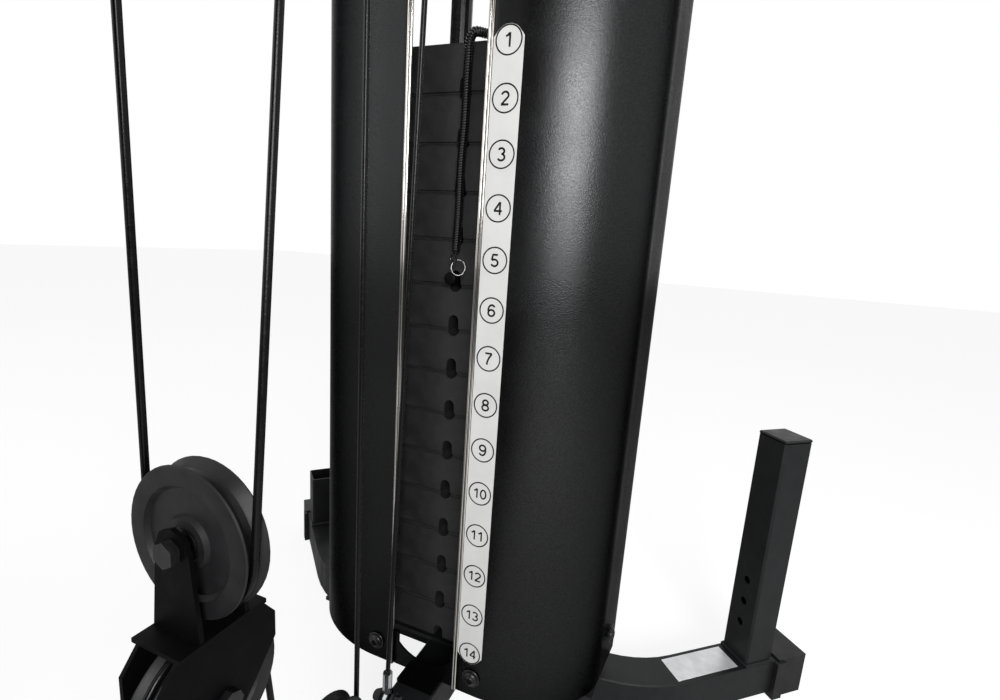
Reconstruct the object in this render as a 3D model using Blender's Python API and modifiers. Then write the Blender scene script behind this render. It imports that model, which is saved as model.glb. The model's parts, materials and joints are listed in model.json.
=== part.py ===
"""Multi gym with one weight stack, a lat bar, press arms and a leg lever.

Metres, +Z up, X across, -Y towards the seat. The origin is on the floor, under the front
plane of the weight tower, at the middle of the centre foot.
"""

import math

import bmesh
import bpy
from mathutils import Matrix, Vector

# Clearances
GAP = 0.0003
WELD = 0.001
CABLE_GAP = 0.0014
BORE_GAP = 0.0008

# Floor frame
TUBE = 0.050
TUBE_WALL = 0.002
TUBE_CORNER = 0.0025
BASE_LIFT = 0.0075
BASE_FRONT_Y = 0.1203
BASE_STRAIGHT_HALF = 0.1766
BASE_BEND_RADIUS = 0.2022
BASE_BEND_ANGLE = math.radians(41.5)
BASE_WING = 0.190
BEAM_TOP = 0.076
BEAM_AHEAD = 0.055
END_PLATE = 0.005
DRAIN_Y = -0.600
DRAIN_RADIUS = 0.006
END_PLATE_HALF = 0.045
FRONT_BASE_HALF = 0.280
CAP_LENGTH = 0.045
CAP_WALL = 0.003
FOOT_HALF = 0.030

# Side post and side socket on the base wings
POST_SIDE = 0.045
POST_ALONG = 0.090
POST_HEIGHT = 0.3235
SOCKET_HEIGHT = 0.093
POST_HOLE_RADIUS = 0.005
POST_HOLES = (0.055, 0.087, 0.119)

# Weight stack
PLATE_COUNT = 14
LIFTED_COUNT = 5
PLATE_PITCH = 0.050
PLATE_WIDTH = 0.300
PLATE_DEPTH = 0.145
PLATE_EDGE = 0.004
PLATE_FRONT_Y = 0.0389
STACK_BOTTOM = 0.105
SLOT_WIDTH = 0.012
SLOT_HEIGHT = 0.017
ROD_RADIUS = 0.0125
ROD_X = 0.0465
STEM_RADIUS = 0.0095
STEM_ABOVE = 0.060
PIN_RADIUS = 0.0042
PIN_HEIGHT = 0.0085
PIN_REACH = 0.012
COLLAR_RADIUS = 0.022
COLLAR_HEIGHT = 0.016
LIFT = 0.80

# Tower cover
SHEET = 0.0015
COVER_BOTTOM = 0.081
COVER_BELOW_MAST_TOP = 0.0597
OPENING_HALF = 0.0411
FLAT_HALF = 0.070
CORNER_X = 0.130
CORNER_Y = 0.100
COVER_REAR_X = 0.2052
COVER_REAR_Y = 0.158
TRIM_WALL = 0.0012
TRIM_DEPTH = 0.0060
BAND = 0.003
BAND_HALF = 0.085
BAND_RISE = 0.125
BAND_DIP = 0.095
BAND_DIP_HALF = 0.036
BAND_DIP_EDGE = 0.110
BOLT_X = 0.066
BOLT_Z = 0.105
BOLT_RADIUS = 0.005
HEAD_RADIUS = 0.0085
HEAD_HEIGHT = 0.0050
WASHER_RADIUS = 0.011
WASHER = 0.0015
SIDE_BOLT_Y = 0.120
SIDE_BOLT_Z = 0.128
SEAT_PLATE = 0.004
SEAT_PLATE_HALF = 0.1985
SEAT_PLATE_REACH = 0.050
SCALE_WIDTH = 0.0287
SCALE_SHEET = 0.0006

# Pulleys and cables
WHEEL_RADIUS = 0.050
CABLE_RADIUS = 0.003
PITCH_RADIUS = 0.0455
WHEEL_HALF = 0.0095
AXLE_RADIUS = 0.005
CHEEK = 0.003
CHEEK_X = 0.0145
TOP_WHEEL_DROP = 0.085
HIGH_PLANE_X = 0.040
HIGH_TOP_Y = -0.1112
BLOCK_Y = -0.2835
BLOCK_UPPER_Z = 0.417
BLOCK_LOWER_Z = 0.307
STACK_DOWN_Y = -0.127
BLOCK_WEB_Z = 0.3605
BLOCK_HALF_DEPTH = 0.041
LOW_WHEEL_Z = 0.143
LOW_MAST_Y = -0.345
LOW_FRONT_BEHIND = 0.105
MAST_WHEEL_Y = -0.350
MAST_WHEEL_BELOW_TOP = 0.3897
SLOT_HALF_WIDTH = 0.008
SLOT_BELOW_CABLE = 0.012
SLOT_ABOVE_CABLE = 0.024
PRESS_WHEEL_Y = -0.560
LAT_WHEEL_Y = -0.980
ANCHOR_Y = -0.0735
FERRULE_TOP = 0.146

# Mast and top beam
MAST = 0.060
MAST_REAR_Y = -0.402
MAST_TOP = 1.9897
TOP_BEAM_FRONT_Y = -1.050
TOP_BEAM_REAR_Y = 0.155

# Seat, back and stations
SEAT_BEAM_TOP = 0.410
SEAT_BEAM_AHEAD = 0.050
SEAT_TOP = 0.520
SEAT_PAD = 0.062
SEAT_LENGTH = 0.390
SEAT_REAR_Y = -0.560
SEAT_HALF_WIDTH = 0.180
BACK_PAD = 0.060
BACK_BOTTOM = 0.640
BACK_TOP = 1.260
BACK_HALF_WIDTH = 0.130
BACK_STANDOFF = 0.012
LEVER = 0.040
LEVER_AHEAD = 0.036
LEVER_PIVOT_Z = 0.385
LEVER_BOTTOM = 0.112
LEVER_LUG_Z = 0.150
ROLLER_RADIUS = 0.040
ROLLER_LENGTH = 0.170
ROLLER_BAR = 0.010
ROLLER_START = 0.037
LOWER_ROLLER_Z = 0.140
UPPER_ROLLER_AHEAD = 0.018
UPPER_ROLLER_Z = 0.468
PRESS_PIVOT_Y = -0.500
PRESS_PIVOT_BELOW_TOP = 0.1447
PRESS_TUBE = 0.016
PRESS_X = 0.110
HANDLE_X = 0.290
HANDLE_Z = 1.080
LAT_BAR_RADIUS = 0.0125
LAT_BAR_HALF = 0.340
LAT_BAR_END = 0.170
LAT_BAR_DROP = math.radians(32.0)
LAT_BAR_BELOW_TOP = 0.2547
LAT_BALL_DROP = 0.055
LUG_REACH = 0.016
BALL_RADIUS = 0.014
LINK_WIRE = 0.0022
LINK_HALF_WIDTH = 0.0085
LINK_HALF_LENGTH = 0.021
LINK_SEAT = 0.0016
LUG_RISE = 0.024
LUG_HOLE = 0.0056
LUG_SHEET = 0.005

# Coiled tether of the selector pin
TETHER_CURLS = 18
TETHER_COIL_RADIUS = 0.0032
TETHER_WIRE_RADIUS = 0.0012
TETHER_POINTS_PER_CURL = 8

# Places worked out from the sizes above
PLATE_Y = PLATE_FRONT_Y + PLATE_DEPTH / 2
STACK_TOP = STACK_BOTTOM + PLATE_COUNT * PLATE_PITCH
BASE_TOP = BASE_LIFT + TUBE
BEAM_BOTTOM = BEAM_TOP - TUBE
COVER_TOP = MAST_TOP - COVER_BELOW_MAST_TOP
MAST_WHEEL_Z = MAST_TOP - MAST_WHEEL_BELOW_TOP
PRESS_PIVOT = (PRESS_PIVOT_Y, MAST_TOP - PRESS_PIVOT_BELOW_TOP)
LAT_BAR_Z = MAST_TOP - LAT_BAR_BELOW_TOP
SEAT_BEAM_FRONT_Y = SEAT_REAR_Y - SEAT_LENGTH - SEAT_BEAM_AHEAD
BEAM_FRONT_Y = SEAT_BEAM_FRONT_Y - BEAM_AHEAD
LOW_FRONT_Y = SEAT_BEAM_FRONT_Y + LOW_FRONT_BEHIND
LEVER_PIVOT = (SEAT_BEAM_FRONT_Y - LEVER_AHEAD, LEVER_PIVOT_Z)
UPPER_ROLLER = (SEAT_BEAM_FRONT_Y - UPPER_ROLLER_AHEAD, UPPER_ROLLER_Z)
TOP_BEAM_BOTTOM = MAST_TOP + GAP
MAST_FRONT_Y = MAST_REAR_Y - MAST
TOP_WHEEL_Z = TOP_BEAM_BOTTOM - TOP_WHEEL_DROP
STACK_REAR_WHEEL_Y = PLATE_Y - PITCH_RADIUS
STACK_FRONT_WHEEL_Y = STACK_DOWN_Y + PITCH_RADIUS
LOW_REAR_Y = STACK_DOWN_Y - PITCH_RADIUS
PRESS_WHEEL_Z = MAST_WHEEL_Z + 2 * PITCH_RADIUS
BEAM_WHEEL_Y = PRESS_WHEEL_Y - 2 * PITCH_RADIUS
PLATE_TOP_OF_SEAT = BEAM_TOP + GAP + SEAT_PLATE
LAT_Y = LAT_WHEEL_Y - PITCH_RADIUS
LUG_HOLE_Z = LAT_BAR_Z + LUG_RISE
LAT_BALL_Z = TOP_WHEEL_Z - LAT_BALL_DROP
LUG_Y = LEVER_PIVOT[0] + LEVER / 2 + LUG_REACH
STEM_TOP = STACK_TOP + STEM_ABOVE
PIN_Z = STACK_BOTTOM + (PLATE_COUNT - LIFTED_COUNT) * PLATE_PITCH + PIN_HEIGHT
SHEET_EDGE = OPENING_HALF + TRIM_WALL + GAP
BAND_Y = SHEET + GAP + TRIM_WALL + GAP
BEAM_REAR_Y = BASE_FRONT_Y - GAP

PARTS = "Multi gym"
FINISHES = {
    "black_paint": ((0.020, 0.021, 0.023), 0.42, 0.0),
    "cover_paint": ((0.016, 0.017, 0.018), 0.38, 0.0),
    "plate_shell": ((0.012, 0.012, 0.013), 0.62, 0.0),
    "chrome": ((0.80, 0.81, 0.83), 0.08, 1.0),
    "black_steel": ((0.015, 0.015, 0.016), 0.30, 0.6),
    "nylon": ((0.014, 0.014, 0.015), 0.45, 0.0),
    "cable_sheath": ((0.010, 0.010, 0.011), 0.30, 0.0),
    "rubber": ((0.020, 0.020, 0.020), 0.80, 0.0),
    "scale_sheet": ((0.66, 0.65, 0.62), 0.45, 0.0),
    "upholstery": ((0.025, 0.025, 0.028), 0.55, 0.0),
    "foam": ((0.018, 0.018, 0.019), 0.90, 0.0),
}


def clear_scene():
    for obj in list(bpy.data.objects):
        bpy.data.objects.remove(obj)
    for name in (PARTS,):
        collection = bpy.data.collections.new(name)
        bpy.context.scene.collection.children.link(collection)


def finish(name):
    """One Principled material for each finish."""
    found = bpy.data.materials.get(name)
    if found:
        return found
    color, roughness, metallic = FINISHES[name]
    made = bpy.data.materials.new(name)
    made.use_nodes = True
    shader = made.node_tree.nodes["Principled BSDF"]
    shader.inputs["Base Color"].default_value = (*color, 1.0)
    shader.inputs["Roughness"].default_value = roughness
    shader.inputs["Metallic"].default_value = metallic
    return made


def link(obj):
    bpy.data.collections[PARTS].objects.link(obj)
    return obj


def settle(obj):
    """Apply an object's modifiers to its mesh."""
    bpy.context.view_layer.update()
    graph = bpy.context.evaluated_depsgraph_get()
    mesh = bpy.data.meshes.new_from_object(obj.evaluated_get(graph))
    obj.modifiers.clear()
    obj.data = mesh
    return obj


def boolean(target, tool, operation, solver="EXACT"):
    modifier = target.modifiers.new("Join", "BOOLEAN")
    modifier.operation = operation
    modifier.solver = solver
    modifier.object = tool
    settle(target)
    bpy.data.objects.remove(tool)
    return target


def cut(target, *tools):
    for tool in tools:
        boolean(target, tool, "DIFFERENCE")
    return target


def fuse(target, *tools):
    for tool in tools:
        boolean(target, tool, "UNION")
    return target


def weld(target, *tools):
    """Union of pieces with many faces in the same planes, where the exact solver leaves holes."""
    for tool in tools:
        boolean(target, tool, "UNION", "MANIFOLD")
    return target


def name_part(obj, name, material, smooth=True, pivot=None):
    """Name a finished piece. A moving one gets its origin on its joint's axis."""
    if pivot is not None:
        bpy.context.view_layer.update()
        obj.data.transform(Matrix.Translation(-Vector(pivot)) @ obj.matrix_world)
        obj.matrix_world = Matrix.Translation(Vector(pivot))
    obj.name = name
    obj.data.name = name
    obj.data.materials.clear()
    obj.data.materials.append(finish(material))
    if smooth:
        obj.data.shade_smooth()
        obj.data.set_sharp_from_angle(angle=math.radians(35))
    return obj


def soften(obj, width, segments=1):
    modifier = obj.modifiers.new("Edges", "BEVEL")
    modifier.width = width
    modifier.segments = segments
    modifier.limit_method = "ANGLE"
    modifier.angle_limit = math.radians(50)
    return obj


def block(low, high, bevel=0.0, segments=1):
    """Box between two corners."""
    low = Vector(low)
    high = Vector(high)
    shape = bmesh.new()
    bmesh.ops.create_cube(shape, size=1.0)
    bmesh.ops.scale(shape, vec=high - low, verts=shape.verts)
    mesh = bpy.data.meshes.new("block")
    shape.to_mesh(mesh)
    shape.free()
    obj = link(bpy.data.objects.new("block", mesh))
    obj.location = (low + high) / 2
    if bevel:
        soften(obj, bevel, segments)
        settle(obj)
    return obj


def rod(start, end, radius, sides=14):
    """Round bar between two points."""
    start = Vector(start)
    end = Vector(end)
    shape = bmesh.new()
    length = (end - start).length
    bmesh.ops.create_cone(
        shape, cap_ends=True, segments=sides, radius1=radius, radius2=radius, depth=length
    )
    turn = (end - start).to_track_quat("Z", "Y").to_matrix().to_4x4()
    bmesh.ops.transform(shape, matrix=turn, verts=shape.verts)
    mesh = bpy.data.meshes.new("rod")
    shape.to_mesh(mesh)
    shape.free()
    obj = link(bpy.data.objects.new("rod", mesh))
    obj.location = (start + end) / 2
    return obj


def turned(profile, centre, axis, sides=16):
    """Solid of revolution: profile is (radius, height) points that run down the outer side."""
    mesh = bpy.data.meshes.new("turned")
    points = [(radius, 0.0, height) for radius, height in profile]
    closed = profile[0][0] > 1e-6
    edges = [(i, i + 1) for i in range(len(points) - 1)]
    if closed:
        edges.append((len(points) - 1, 0))
    mesh.from_pydata(points, edges, [])
    obj = link(bpy.data.objects.new("turned", mesh))
    screw = obj.modifiers.new("Turn", "SCREW")
    screw.axis = "Z"
    screw.steps = sides
    screw.render_steps = sides
    screw.use_merge_vertices = True
    screw.merge_threshold = 0.00001
    settle(obj)
    turn = Vector(axis).to_track_quat("Z", "Y").to_matrix().to_4x4()
    obj.data.transform(turn)
    obj.location = Vector(centre)
    return obj


def sleeve(start, end, inner, outer, sides=14):
    """Hollow round bar between two points."""
    start = Vector(start)
    end = Vector(end)
    half = (end - start).length / 2
    profile = [(inner, half), (outer, half), (outer, -half), (inner, -half)]
    return turned(profile, (start + end) / 2, end - start, sides)


def curve_solid(points, radius, resolution=2):
    """Tube along a list of points, its caps welded."""
    data = bpy.data.curves.new("tube", "CURVE")
    data.dimensions = "3D"
    data.bevel_depth = radius
    data.bevel_resolution = resolution
    data.use_fill_caps = True
    spline = data.splines.new("POLY")
    spline.points.add(len(points) - 1)
    for target, point in zip(spline.points, points):
        target.co = (*point, 1.0)
    return mesh_of_curve(data)


def mesh_of_curve(data):
    curve = link(bpy.data.objects.new("curve", data))
    bpy.context.view_layer.update()
    graph = bpy.context.evaluated_depsgraph_get()
    mesh = bpy.data.meshes.new_from_object(curve.evaluated_get(graph))
    bpy.data.objects.remove(curve)
    shape = bmesh.new()
    shape.from_mesh(mesh)
    bmesh.ops.remove_doubles(shape, verts=shape.verts, dist=0.00001)
    bmesh.ops.recalc_face_normals(shape, faces=shape.faces)
    shape.to_mesh(mesh)
    shape.free()
    return link(bpy.data.objects.new("tube", mesh))


def outline_solid(points, thickness, place):
    """Flat outline in a plane, as thick as given, moved by a matrix."""
    data = bpy.data.curves.new("outline", "CURVE")
    data.dimensions = "2D"
    data.fill_mode = "BOTH"
    data.extrude = thickness / 2
    spline = data.splines.new("POLY")
    spline.points.add(len(points) - 1)
    for target, point in zip(spline.points, points):
        target.co = (point[0], point[1], 0.0, 1.0)
    spline.use_cyclic_u = True
    obj = mesh_of_curve(data)
    obj.data.transform(place)
    return obj


def upright(y):
    """Matrix that stands an outline's x, y on the X-Z plane at a depth y."""
    return Matrix.Translation((0.0, y, 0.0)) @ Matrix.Rotation(math.radians(90), 4, "X")


def sideways(x):
    """Matrix that stands an outline's x, y on the Y-Z plane at a place x."""
    turn = Matrix(((0, 0, 1), (1, 0, 0), (0, 1, 0))).to_4x4()
    return Matrix.Translation((x, 0.0, 0.0)) @ turn


def arc(centre, radius, start, end, steps):
    return [
        (
            centre[0] + radius * math.cos(start + (end - start) * i / steps),
            centre[1] + radius * math.sin(start + (end - start) * i / steps),
        )
        for i in range(steps + 1)
    ]


def square_tube(low, high, axis, wall=TUBE_WALL):
    """Hollow tube with chamfered long edges, open at both ends along axis 0, 1 or 2."""
    across, up = (i for i in range(3) if i != axis)
    edge = TUBE_CORNER
    left, right = low[across], high[across]
    bottom, top = low[up], high[up]
    outline = [(left + edge, bottom), (right - edge, bottom), (right, bottom + edge), (right, top - edge)]
    outline += [(right - edge, top), (left + edge, top), (left, top - edge), (left, bottom + edge)]
    middle = (low[axis] + high[axis]) / 2
    place = (sideways(middle), upright(middle), Matrix.Translation((0, 0, middle)))[axis]
    outer = outline_solid(outline, high[axis] - low[axis], place)
    inner_low = [value + wall for value in low]
    inner_high = [value - wall for value in high]
    inner_low[axis] = low[axis] - wall
    inner_high[axis] = high[axis] + wall
    return cut(outer, block(inner_low, inner_high))


def pipe_hole(centre, axis, radius, reach):
    """Cutter for a round hole through a wall, its flats outside the stated radius."""
    direction = Vector(axis).normalized() * reach
    sides = 8 if radius > 0.009 else 6
    around = radius / math.cos(math.pi / sides)
    return rod(Vector(centre) - direction, Vector(centre) + direction, around, sides)


# Floor frame


def wing_point(along, across):
    """Plan point on the right base wing: along its length, and across from its front edge."""
    centre = Vector((BASE_STRAIGHT_HALF, BASE_FRONT_Y + BASE_BEND_RADIUS))
    direction = Vector((math.cos(BASE_BEND_ANGLE), math.sin(BASE_BEND_ANGLE)))
    outward = Vector((math.sin(BASE_BEND_ANGLE), -math.cos(BASE_BEND_ANGLE)))
    return centre + outward * (BASE_BEND_RADIUS + across) + direction * along


def base_outline(inset, extra):
    """Plan outline of the bent rear tube, narrower by inset and longer by extra."""
    centre = (BASE_STRAIGHT_HALF, BASE_FRONT_Y + BASE_BEND_RADIUS)
    start = -math.pi / 2
    end = start + BASE_BEND_ANGLE
    front = arc(centre, BASE_BEND_RADIUS - inset, start, end, 6)
    rear = arc(centre, BASE_BEND_RADIUS - TUBE + inset, end, start, 6)
    tip = BASE_WING + extra
    front.append(tuple(wing_point(tip, -inset)))
    rear.insert(0, tuple(wing_point(tip, inset - TUBE)))
    half = front + rear
    mirrored = [(-x, y) for x, y in reversed(half)]
    return half + mirrored


def rear_base():
    middle = BASE_LIFT + TUBE / 2
    outer = outline_solid(base_outline(0.0, 0.0), TUBE, Matrix.Translation((0, 0, middle)))
    soften(outer, TUBE_CORNER)
    outer.modifiers["Edges"].angle_limit = math.radians(60)
    settle(outer)
    inside = TUBE - 2 * TUBE_WALL
    place = Matrix.Translation((0, 0, middle))
    inner = outline_solid(base_outline(TUBE_WALL, TUBE_WALL), inside, place)
    cut(outer, inner)
    name_part(outer, "rear_base", "black_paint")


def wing_matrix(side):
    """Frame of a wing: x along the tube, y across it, z up, with its origin on the tube's top."""
    start = wing_point(0.0, -TUBE / 2)
    if side > 0:
        place = Matrix.Translation((start.x, start.y, BASE_TOP))
        return place @ Matrix.Rotation(BASE_BEND_ANGLE, 4, "Z")
    place = Matrix.Translation((-start.x, start.y, BASE_TOP))
    return place @ Matrix.Rotation(math.pi - BASE_BEND_ANGLE, 4, "Z")


def shift(obj, matrix):
    bpy.context.view_layer.update()
    obj.data.transform(matrix @ obj.matrix_world)
    obj.matrix_world = Matrix.Identity(4)
    return obj


def moulded_cap(low_x, length):
    """Plastic end cap that slips over a tube's end along +x and reaches the floor."""
    wall = CAP_WALL
    half = TUBE / 2
    top = 0.0
    bottom = -BASE_TOP
    outer = block((low_x, -half - wall, bottom), (low_x + length, half + wall, top + wall))
    lip = block((low_x - 0.006, -half - wall - 0.004, bottom), (low_x + 0.010, half + wall + 0.004, top / 2))
    fuse(outer, lip)
    floor = bottom + BASE_LIFT - GAP
    hollow = block((low_x - 0.02, -half - GAP, floor), (low_x + length - wall, half + GAP, top + GAP))
    return cut(outer, hollow)


def foot_caps():
    for side, word in ((-1, "left"), (1, "right")):
        start = BASE_WING - CAP_LENGTH
        cap = shift(moulded_cap(start, CAP_LENGTH + GAP + CAP_WALL), wing_matrix(side))
        name_part(cap, f"foot_cap_{word}", "nylon")


def front_base():
    rear = BEAM_FRONT_Y - END_PLATE - GAP
    low = (-FRONT_BASE_HALF, rear - TUBE, BASE_LIFT)
    tube = square_tube(low, (FRONT_BASE_HALF, rear, BASE_TOP), 0)
    for side in (-1, 1):
        ends = sorted((side * (FRONT_BASE_HALF - CAP_LENGTH), side * (FRONT_BASE_HALF + CAP_WALL)))
        skin = CAP_WALL
        shoe_low = (ends[0], rear - TUBE - skin, 0.0)
        fuse(tube, block(shoe_low, (ends[1], rear - WELD, BASE_TOP + skin)))
    middle = (0, rear, (BASE_LIFT + BASE_TOP) / 2)
    cut(tube, pipe_hole(middle, (0, 1, 0), TUBE / 5, TUBE / 2))
    name_part(tube, "front_base", "black_paint")


def main_beam():
    half = TUBE / 2
    plate_low = BASE_LIFT
    rear = BEAM_REAR_Y
    low = (-half, BEAM_FRONT_Y, BEAM_BOTTOM)
    beam = square_tube(low, (half, rear - END_PLATE, BEAM_TOP), 1)
    for start in (BEAM_FRONT_Y - END_PLATE, rear - END_PLATE - WELD):
        high = (END_PLATE_HALF, start + END_PLATE + WELD, BEAM_TOP - TUBE_WALL * 0.75)
        plate = block((-END_PLATE_HALF, start, plate_low), high)
        fuse(beam, plate)
    for name in ("pulley_low_rear", "pulley_low_mast", "pulley_low_front"):
        weld(beam, low_bracket(name))
    weld(beam, rail_seat(), anchor_clevis())
    cut(beam, pipe_hole((0, DRAIN_Y, BEAM_BOTTOM), (0, 0, 1), DRAIN_RADIUS, TUBE_WALL * 2))
    name_part(beam, "main_beam", "black_paint")


def centre_foot():
    foot = block((-FOOT_HALF, -FOOT_HALF, 0), (FOOT_HALF, FOOT_HALF, BEAM_BOTTOM - GAP), 0.003)
    name_part(foot, "centre_foot", "rubber")


def wing_post(side, height, holes):
    low = (POST_ALONG, -POST_SIDE / 2, GAP)
    high = (POST_ALONG + POST_SIDE, POST_SIDE / 2, height)
    post = square_tube(low, high, 2)
    for hole in holes:
        centre = (POST_ALONG, 0, hole)
        cut(post, pipe_hole(centre, (1, 0, 0), POST_HOLE_RADIUS, POST_SIDE / 2))
    return shift(post, wing_matrix(side))


def side_posts():
    name_part(wing_post(1, POST_HEIGHT, POST_HOLES), "side_post", "black_paint")
    name_part(wing_post(-1, SOCKET_HEIGHT, ()), "side_socket", "black_paint")
    half = POST_SIDE / 2
    low = (POST_ALONG, -half, POST_HEIGHT + GAP)
    cap = block(low, (POST_ALONG + POST_SIDE, half, POST_HEIGHT + GAP + 0.004), 0.0015)
    plug_half = half - TUBE_WALL - GAP
    middle = POST_ALONG + half
    plug_low = (middle - plug_half, -plug_half, POST_HEIGHT - 0.015)
    plug = block(plug_low, (middle + plug_half, plug_half, POST_HEIGHT + GAP + 0.002))
    name_part(shift(fuse(cap, plug), wing_matrix(1)), "side_post_cap", "nylon")


# Weight stack


def plate_block(first, last, name):
    """Plates number first to last, counted from the top, with a groove between neighbours."""
    bottom = STACK_BOTTOM + (PLATE_COUNT - last) * PLATE_PITCH
    count = last - first + 1
    top = bottom + count * PLATE_PITCH - GAP
    rear = PLATE_FRONT_Y + PLATE_DEPTH
    edge = PLATE_EDGE
    front_side = []
    for i in range(count):
        low = bottom + i * PLATE_PITCH
        high = min(low + PLATE_PITCH, top)
        front_side += [(0.0, low + edge), (0.0, high - edge)]
        front_side.append((edge, high))
    front = [(PLATE_FRONT_Y + inset, height) for inset, height in front_side]
    back = [(rear - inset, height) for inset, height in reversed(front_side)]
    outline = [(PLATE_FRONT_Y + edge, bottom), *front, *back, (rear - edge, bottom)]
    plates = outline_solid(outline, PLATE_WIDTH, sideways(0.0))
    middle = (bottom + top) / 2
    reach = top - bottom
    for x in (-ROD_X, ROD_X):
        cut(plates, pipe_hole((x, PLATE_Y, middle), (0, 0, 1), ROD_RADIUS + BORE_GAP, reach))
    cut(plates, pipe_hole((0, PLATE_Y, middle), (0, 0, 1), STEM_RADIUS + BORE_GAP, reach))
    for i in range(count):
        cut(plates, pin_slot(bottom + i * PLATE_PITCH))
    name_part(plates, name, "plate_shell", pivot=(0, PLATE_Y, bottom))


def pin_slot(bottom):
    """Cutter for the arched slot under one plate, deep enough for the pin."""
    radius = SLOT_WIDTH / 2
    crown = arc((0, bottom + SLOT_HEIGHT - radius), radius, 0.0, math.pi, 4)
    profile = [(radius, bottom - radius), *crown, (-radius, bottom - radius)]
    reach = PLATE_DEPTH / 2 + STEM_RADIUS + PIN_REACH
    return outline_solid(profile, reach + radius, upright(PLATE_FRONT_Y + (reach - radius) / 2))


def weight_stack():
    plate_block(1, LIFTED_COUNT, "lifted_plates")
    plate_block(LIFTED_COUNT + 1, PLATE_COUNT, "resting_plates")


def selector_stem():
    start = (0, PLATE_Y, STACK_BOTTOM + GAP)
    stem = rod(start, (0, PLATE_Y, STEM_TOP), STEM_RADIUS, 8)
    collar_low = STACK_TOP
    collar = rod((0, PLATE_Y, collar_low), (0, PLATE_Y, collar_low + COLLAR_HEIGHT), COLLAR_RADIUS, 12)
    fuse(stem, collar)
    for index in range(1, PLATE_COUNT + 1):
        height = STACK_BOTTOM + (PLATE_COUNT - index) * PLATE_PITCH + PIN_HEIGHT
        start = (0, PLATE_Y - STEM_RADIUS * 2, height)
        end = (0, PLATE_Y + STEM_RADIUS * 2, height)
        hole = rod(start, end, (PIN_RADIUS + GAP * 2) / math.cos(math.pi / 4), 4)
        boolean(stem, hole, "DIFFERENCE", "MANIFOLD")
    neck = [(0.0, 0.028), (0.004, 0.028), (0.0075, 0.022), (0.0075, -0.002), (0.0, -0.002)]
    weld(stem, turned(neck, (0, PLATE_Y, STEM_TOP), (0, 0, 1), 8))
    name_part(stem, "selector_stem", "black_steel", pivot=(0, PLATE_Y, STACK_TOP))


def selector_pin():
    tip = PLATE_Y + STEM_RADIUS + PIN_REACH - GAP
    head_y = PLATE_FRONT_Y - 0.004
    pin = rod((0, head_y - 0.002, PIN_Z), (0, tip, PIN_Z), PIN_RADIUS, 12)
    head = rod((0, head_y - 0.010, PIN_Z), (0, head_y, PIN_Z), 0.0075, 16)
    ring = turned(ring_profile(0.0055, 0.0011, 4), (0, head_y - 0.0105, PIN_Z + 0.001), (0, 1, 0.15), 10)
    name_part(fuse(pin, head, ring), "selector_pin", "chrome", pivot=(0, head_y, PIN_Z))


def ring_profile(radius, wire, sides):
    """Round section of a ring, run down its outer side."""
    points = []
    for i in range(sides):
        angle = math.pi / 2 - 2 * math.pi * i / sides
        points.append((radius + wire * math.cos(angle), wire * math.sin(angle)))
    return points


def guide_rods():
    """Two rods, and the rubber bar round them that the stack rests on."""
    top = TOP_BEAM_BOTTOM - BAND - GAP
    low = PLATE_TOP_OF_SEAT + GAP
    for x, word in ((-ROD_X, "left"), (ROD_X, "right")):
        made = rod((x, PLATE_Y, low), (x, PLATE_Y, top), ROD_RADIUS, 16)
        name_part(made, f"guide_rod_{word}", "black_steel")
    half = ROD_X + ROD_RADIUS * 2
    bar_low = (-half, PLATE_Y - ROD_RADIUS * 2, low)
    cushion = block(bar_low, (half, PLATE_Y + ROD_RADIUS * 2, STACK_BOTTOM - GAP))
    for x in (-ROD_X, ROD_X):
        cut(cushion, pipe_hole((x, PLATE_Y, low), (0, 0, 1), ROD_RADIUS + GAP, STACK_BOTTOM))
    name_part(cushion, "stack_cushion", "rubber")


def rail_seat():
    """Bent plate welded on the beam, which carries the guide rods and the cover's sides."""
    low_z = BEAM_TOP - WELD
    front = PLATE_Y - SEAT_PLATE_REACH
    rear = PLATE_Y + SEAT_PLATE_REACH
    high = (SEAT_PLATE_HALF, rear, PLATE_TOP_OF_SEAT)
    plate = block((-SEAT_PLATE_HALF, front, low_z), high)
    for side in (-1, 1):
        inner = side * (SEAT_PLATE_HALF - SEAT_PLATE)
        outer = side * SEAT_PLATE_HALF
        ear_low = (min(inner, outer), SIDE_BOLT_Y - 0.015, low_z + SEAT_PLATE / 2)
        ear = block(ear_low, (max(inner, outer), SIDE_BOLT_Y + 0.015, SIDE_BOLT_Z + 0.015))
        fuse(plate, ear)
    centre = (0, SIDE_BOLT_Y, SIDE_BOLT_Z)
    cut(plate, pipe_hole(centre, (1, 0, 0), BOLT_RADIUS + GAP * 2, COVER_REAR_X * 1.2))
    return plate


# Tower cover


def cover_line():
    """Plan line of the right half of the cover, from the opening to its rear edge."""
    line = [(SHEET_EDGE, 0.0)]
    for i in range(10):
        angle = math.pi / 2 * i / 9
        x = FLAT_HALF + CORNER_X * math.sin(angle)
        line.append((x, CORNER_Y * (1 - math.cos(angle))))
    line.append((COVER_REAR_X, COVER_REAR_Y))
    return line


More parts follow.
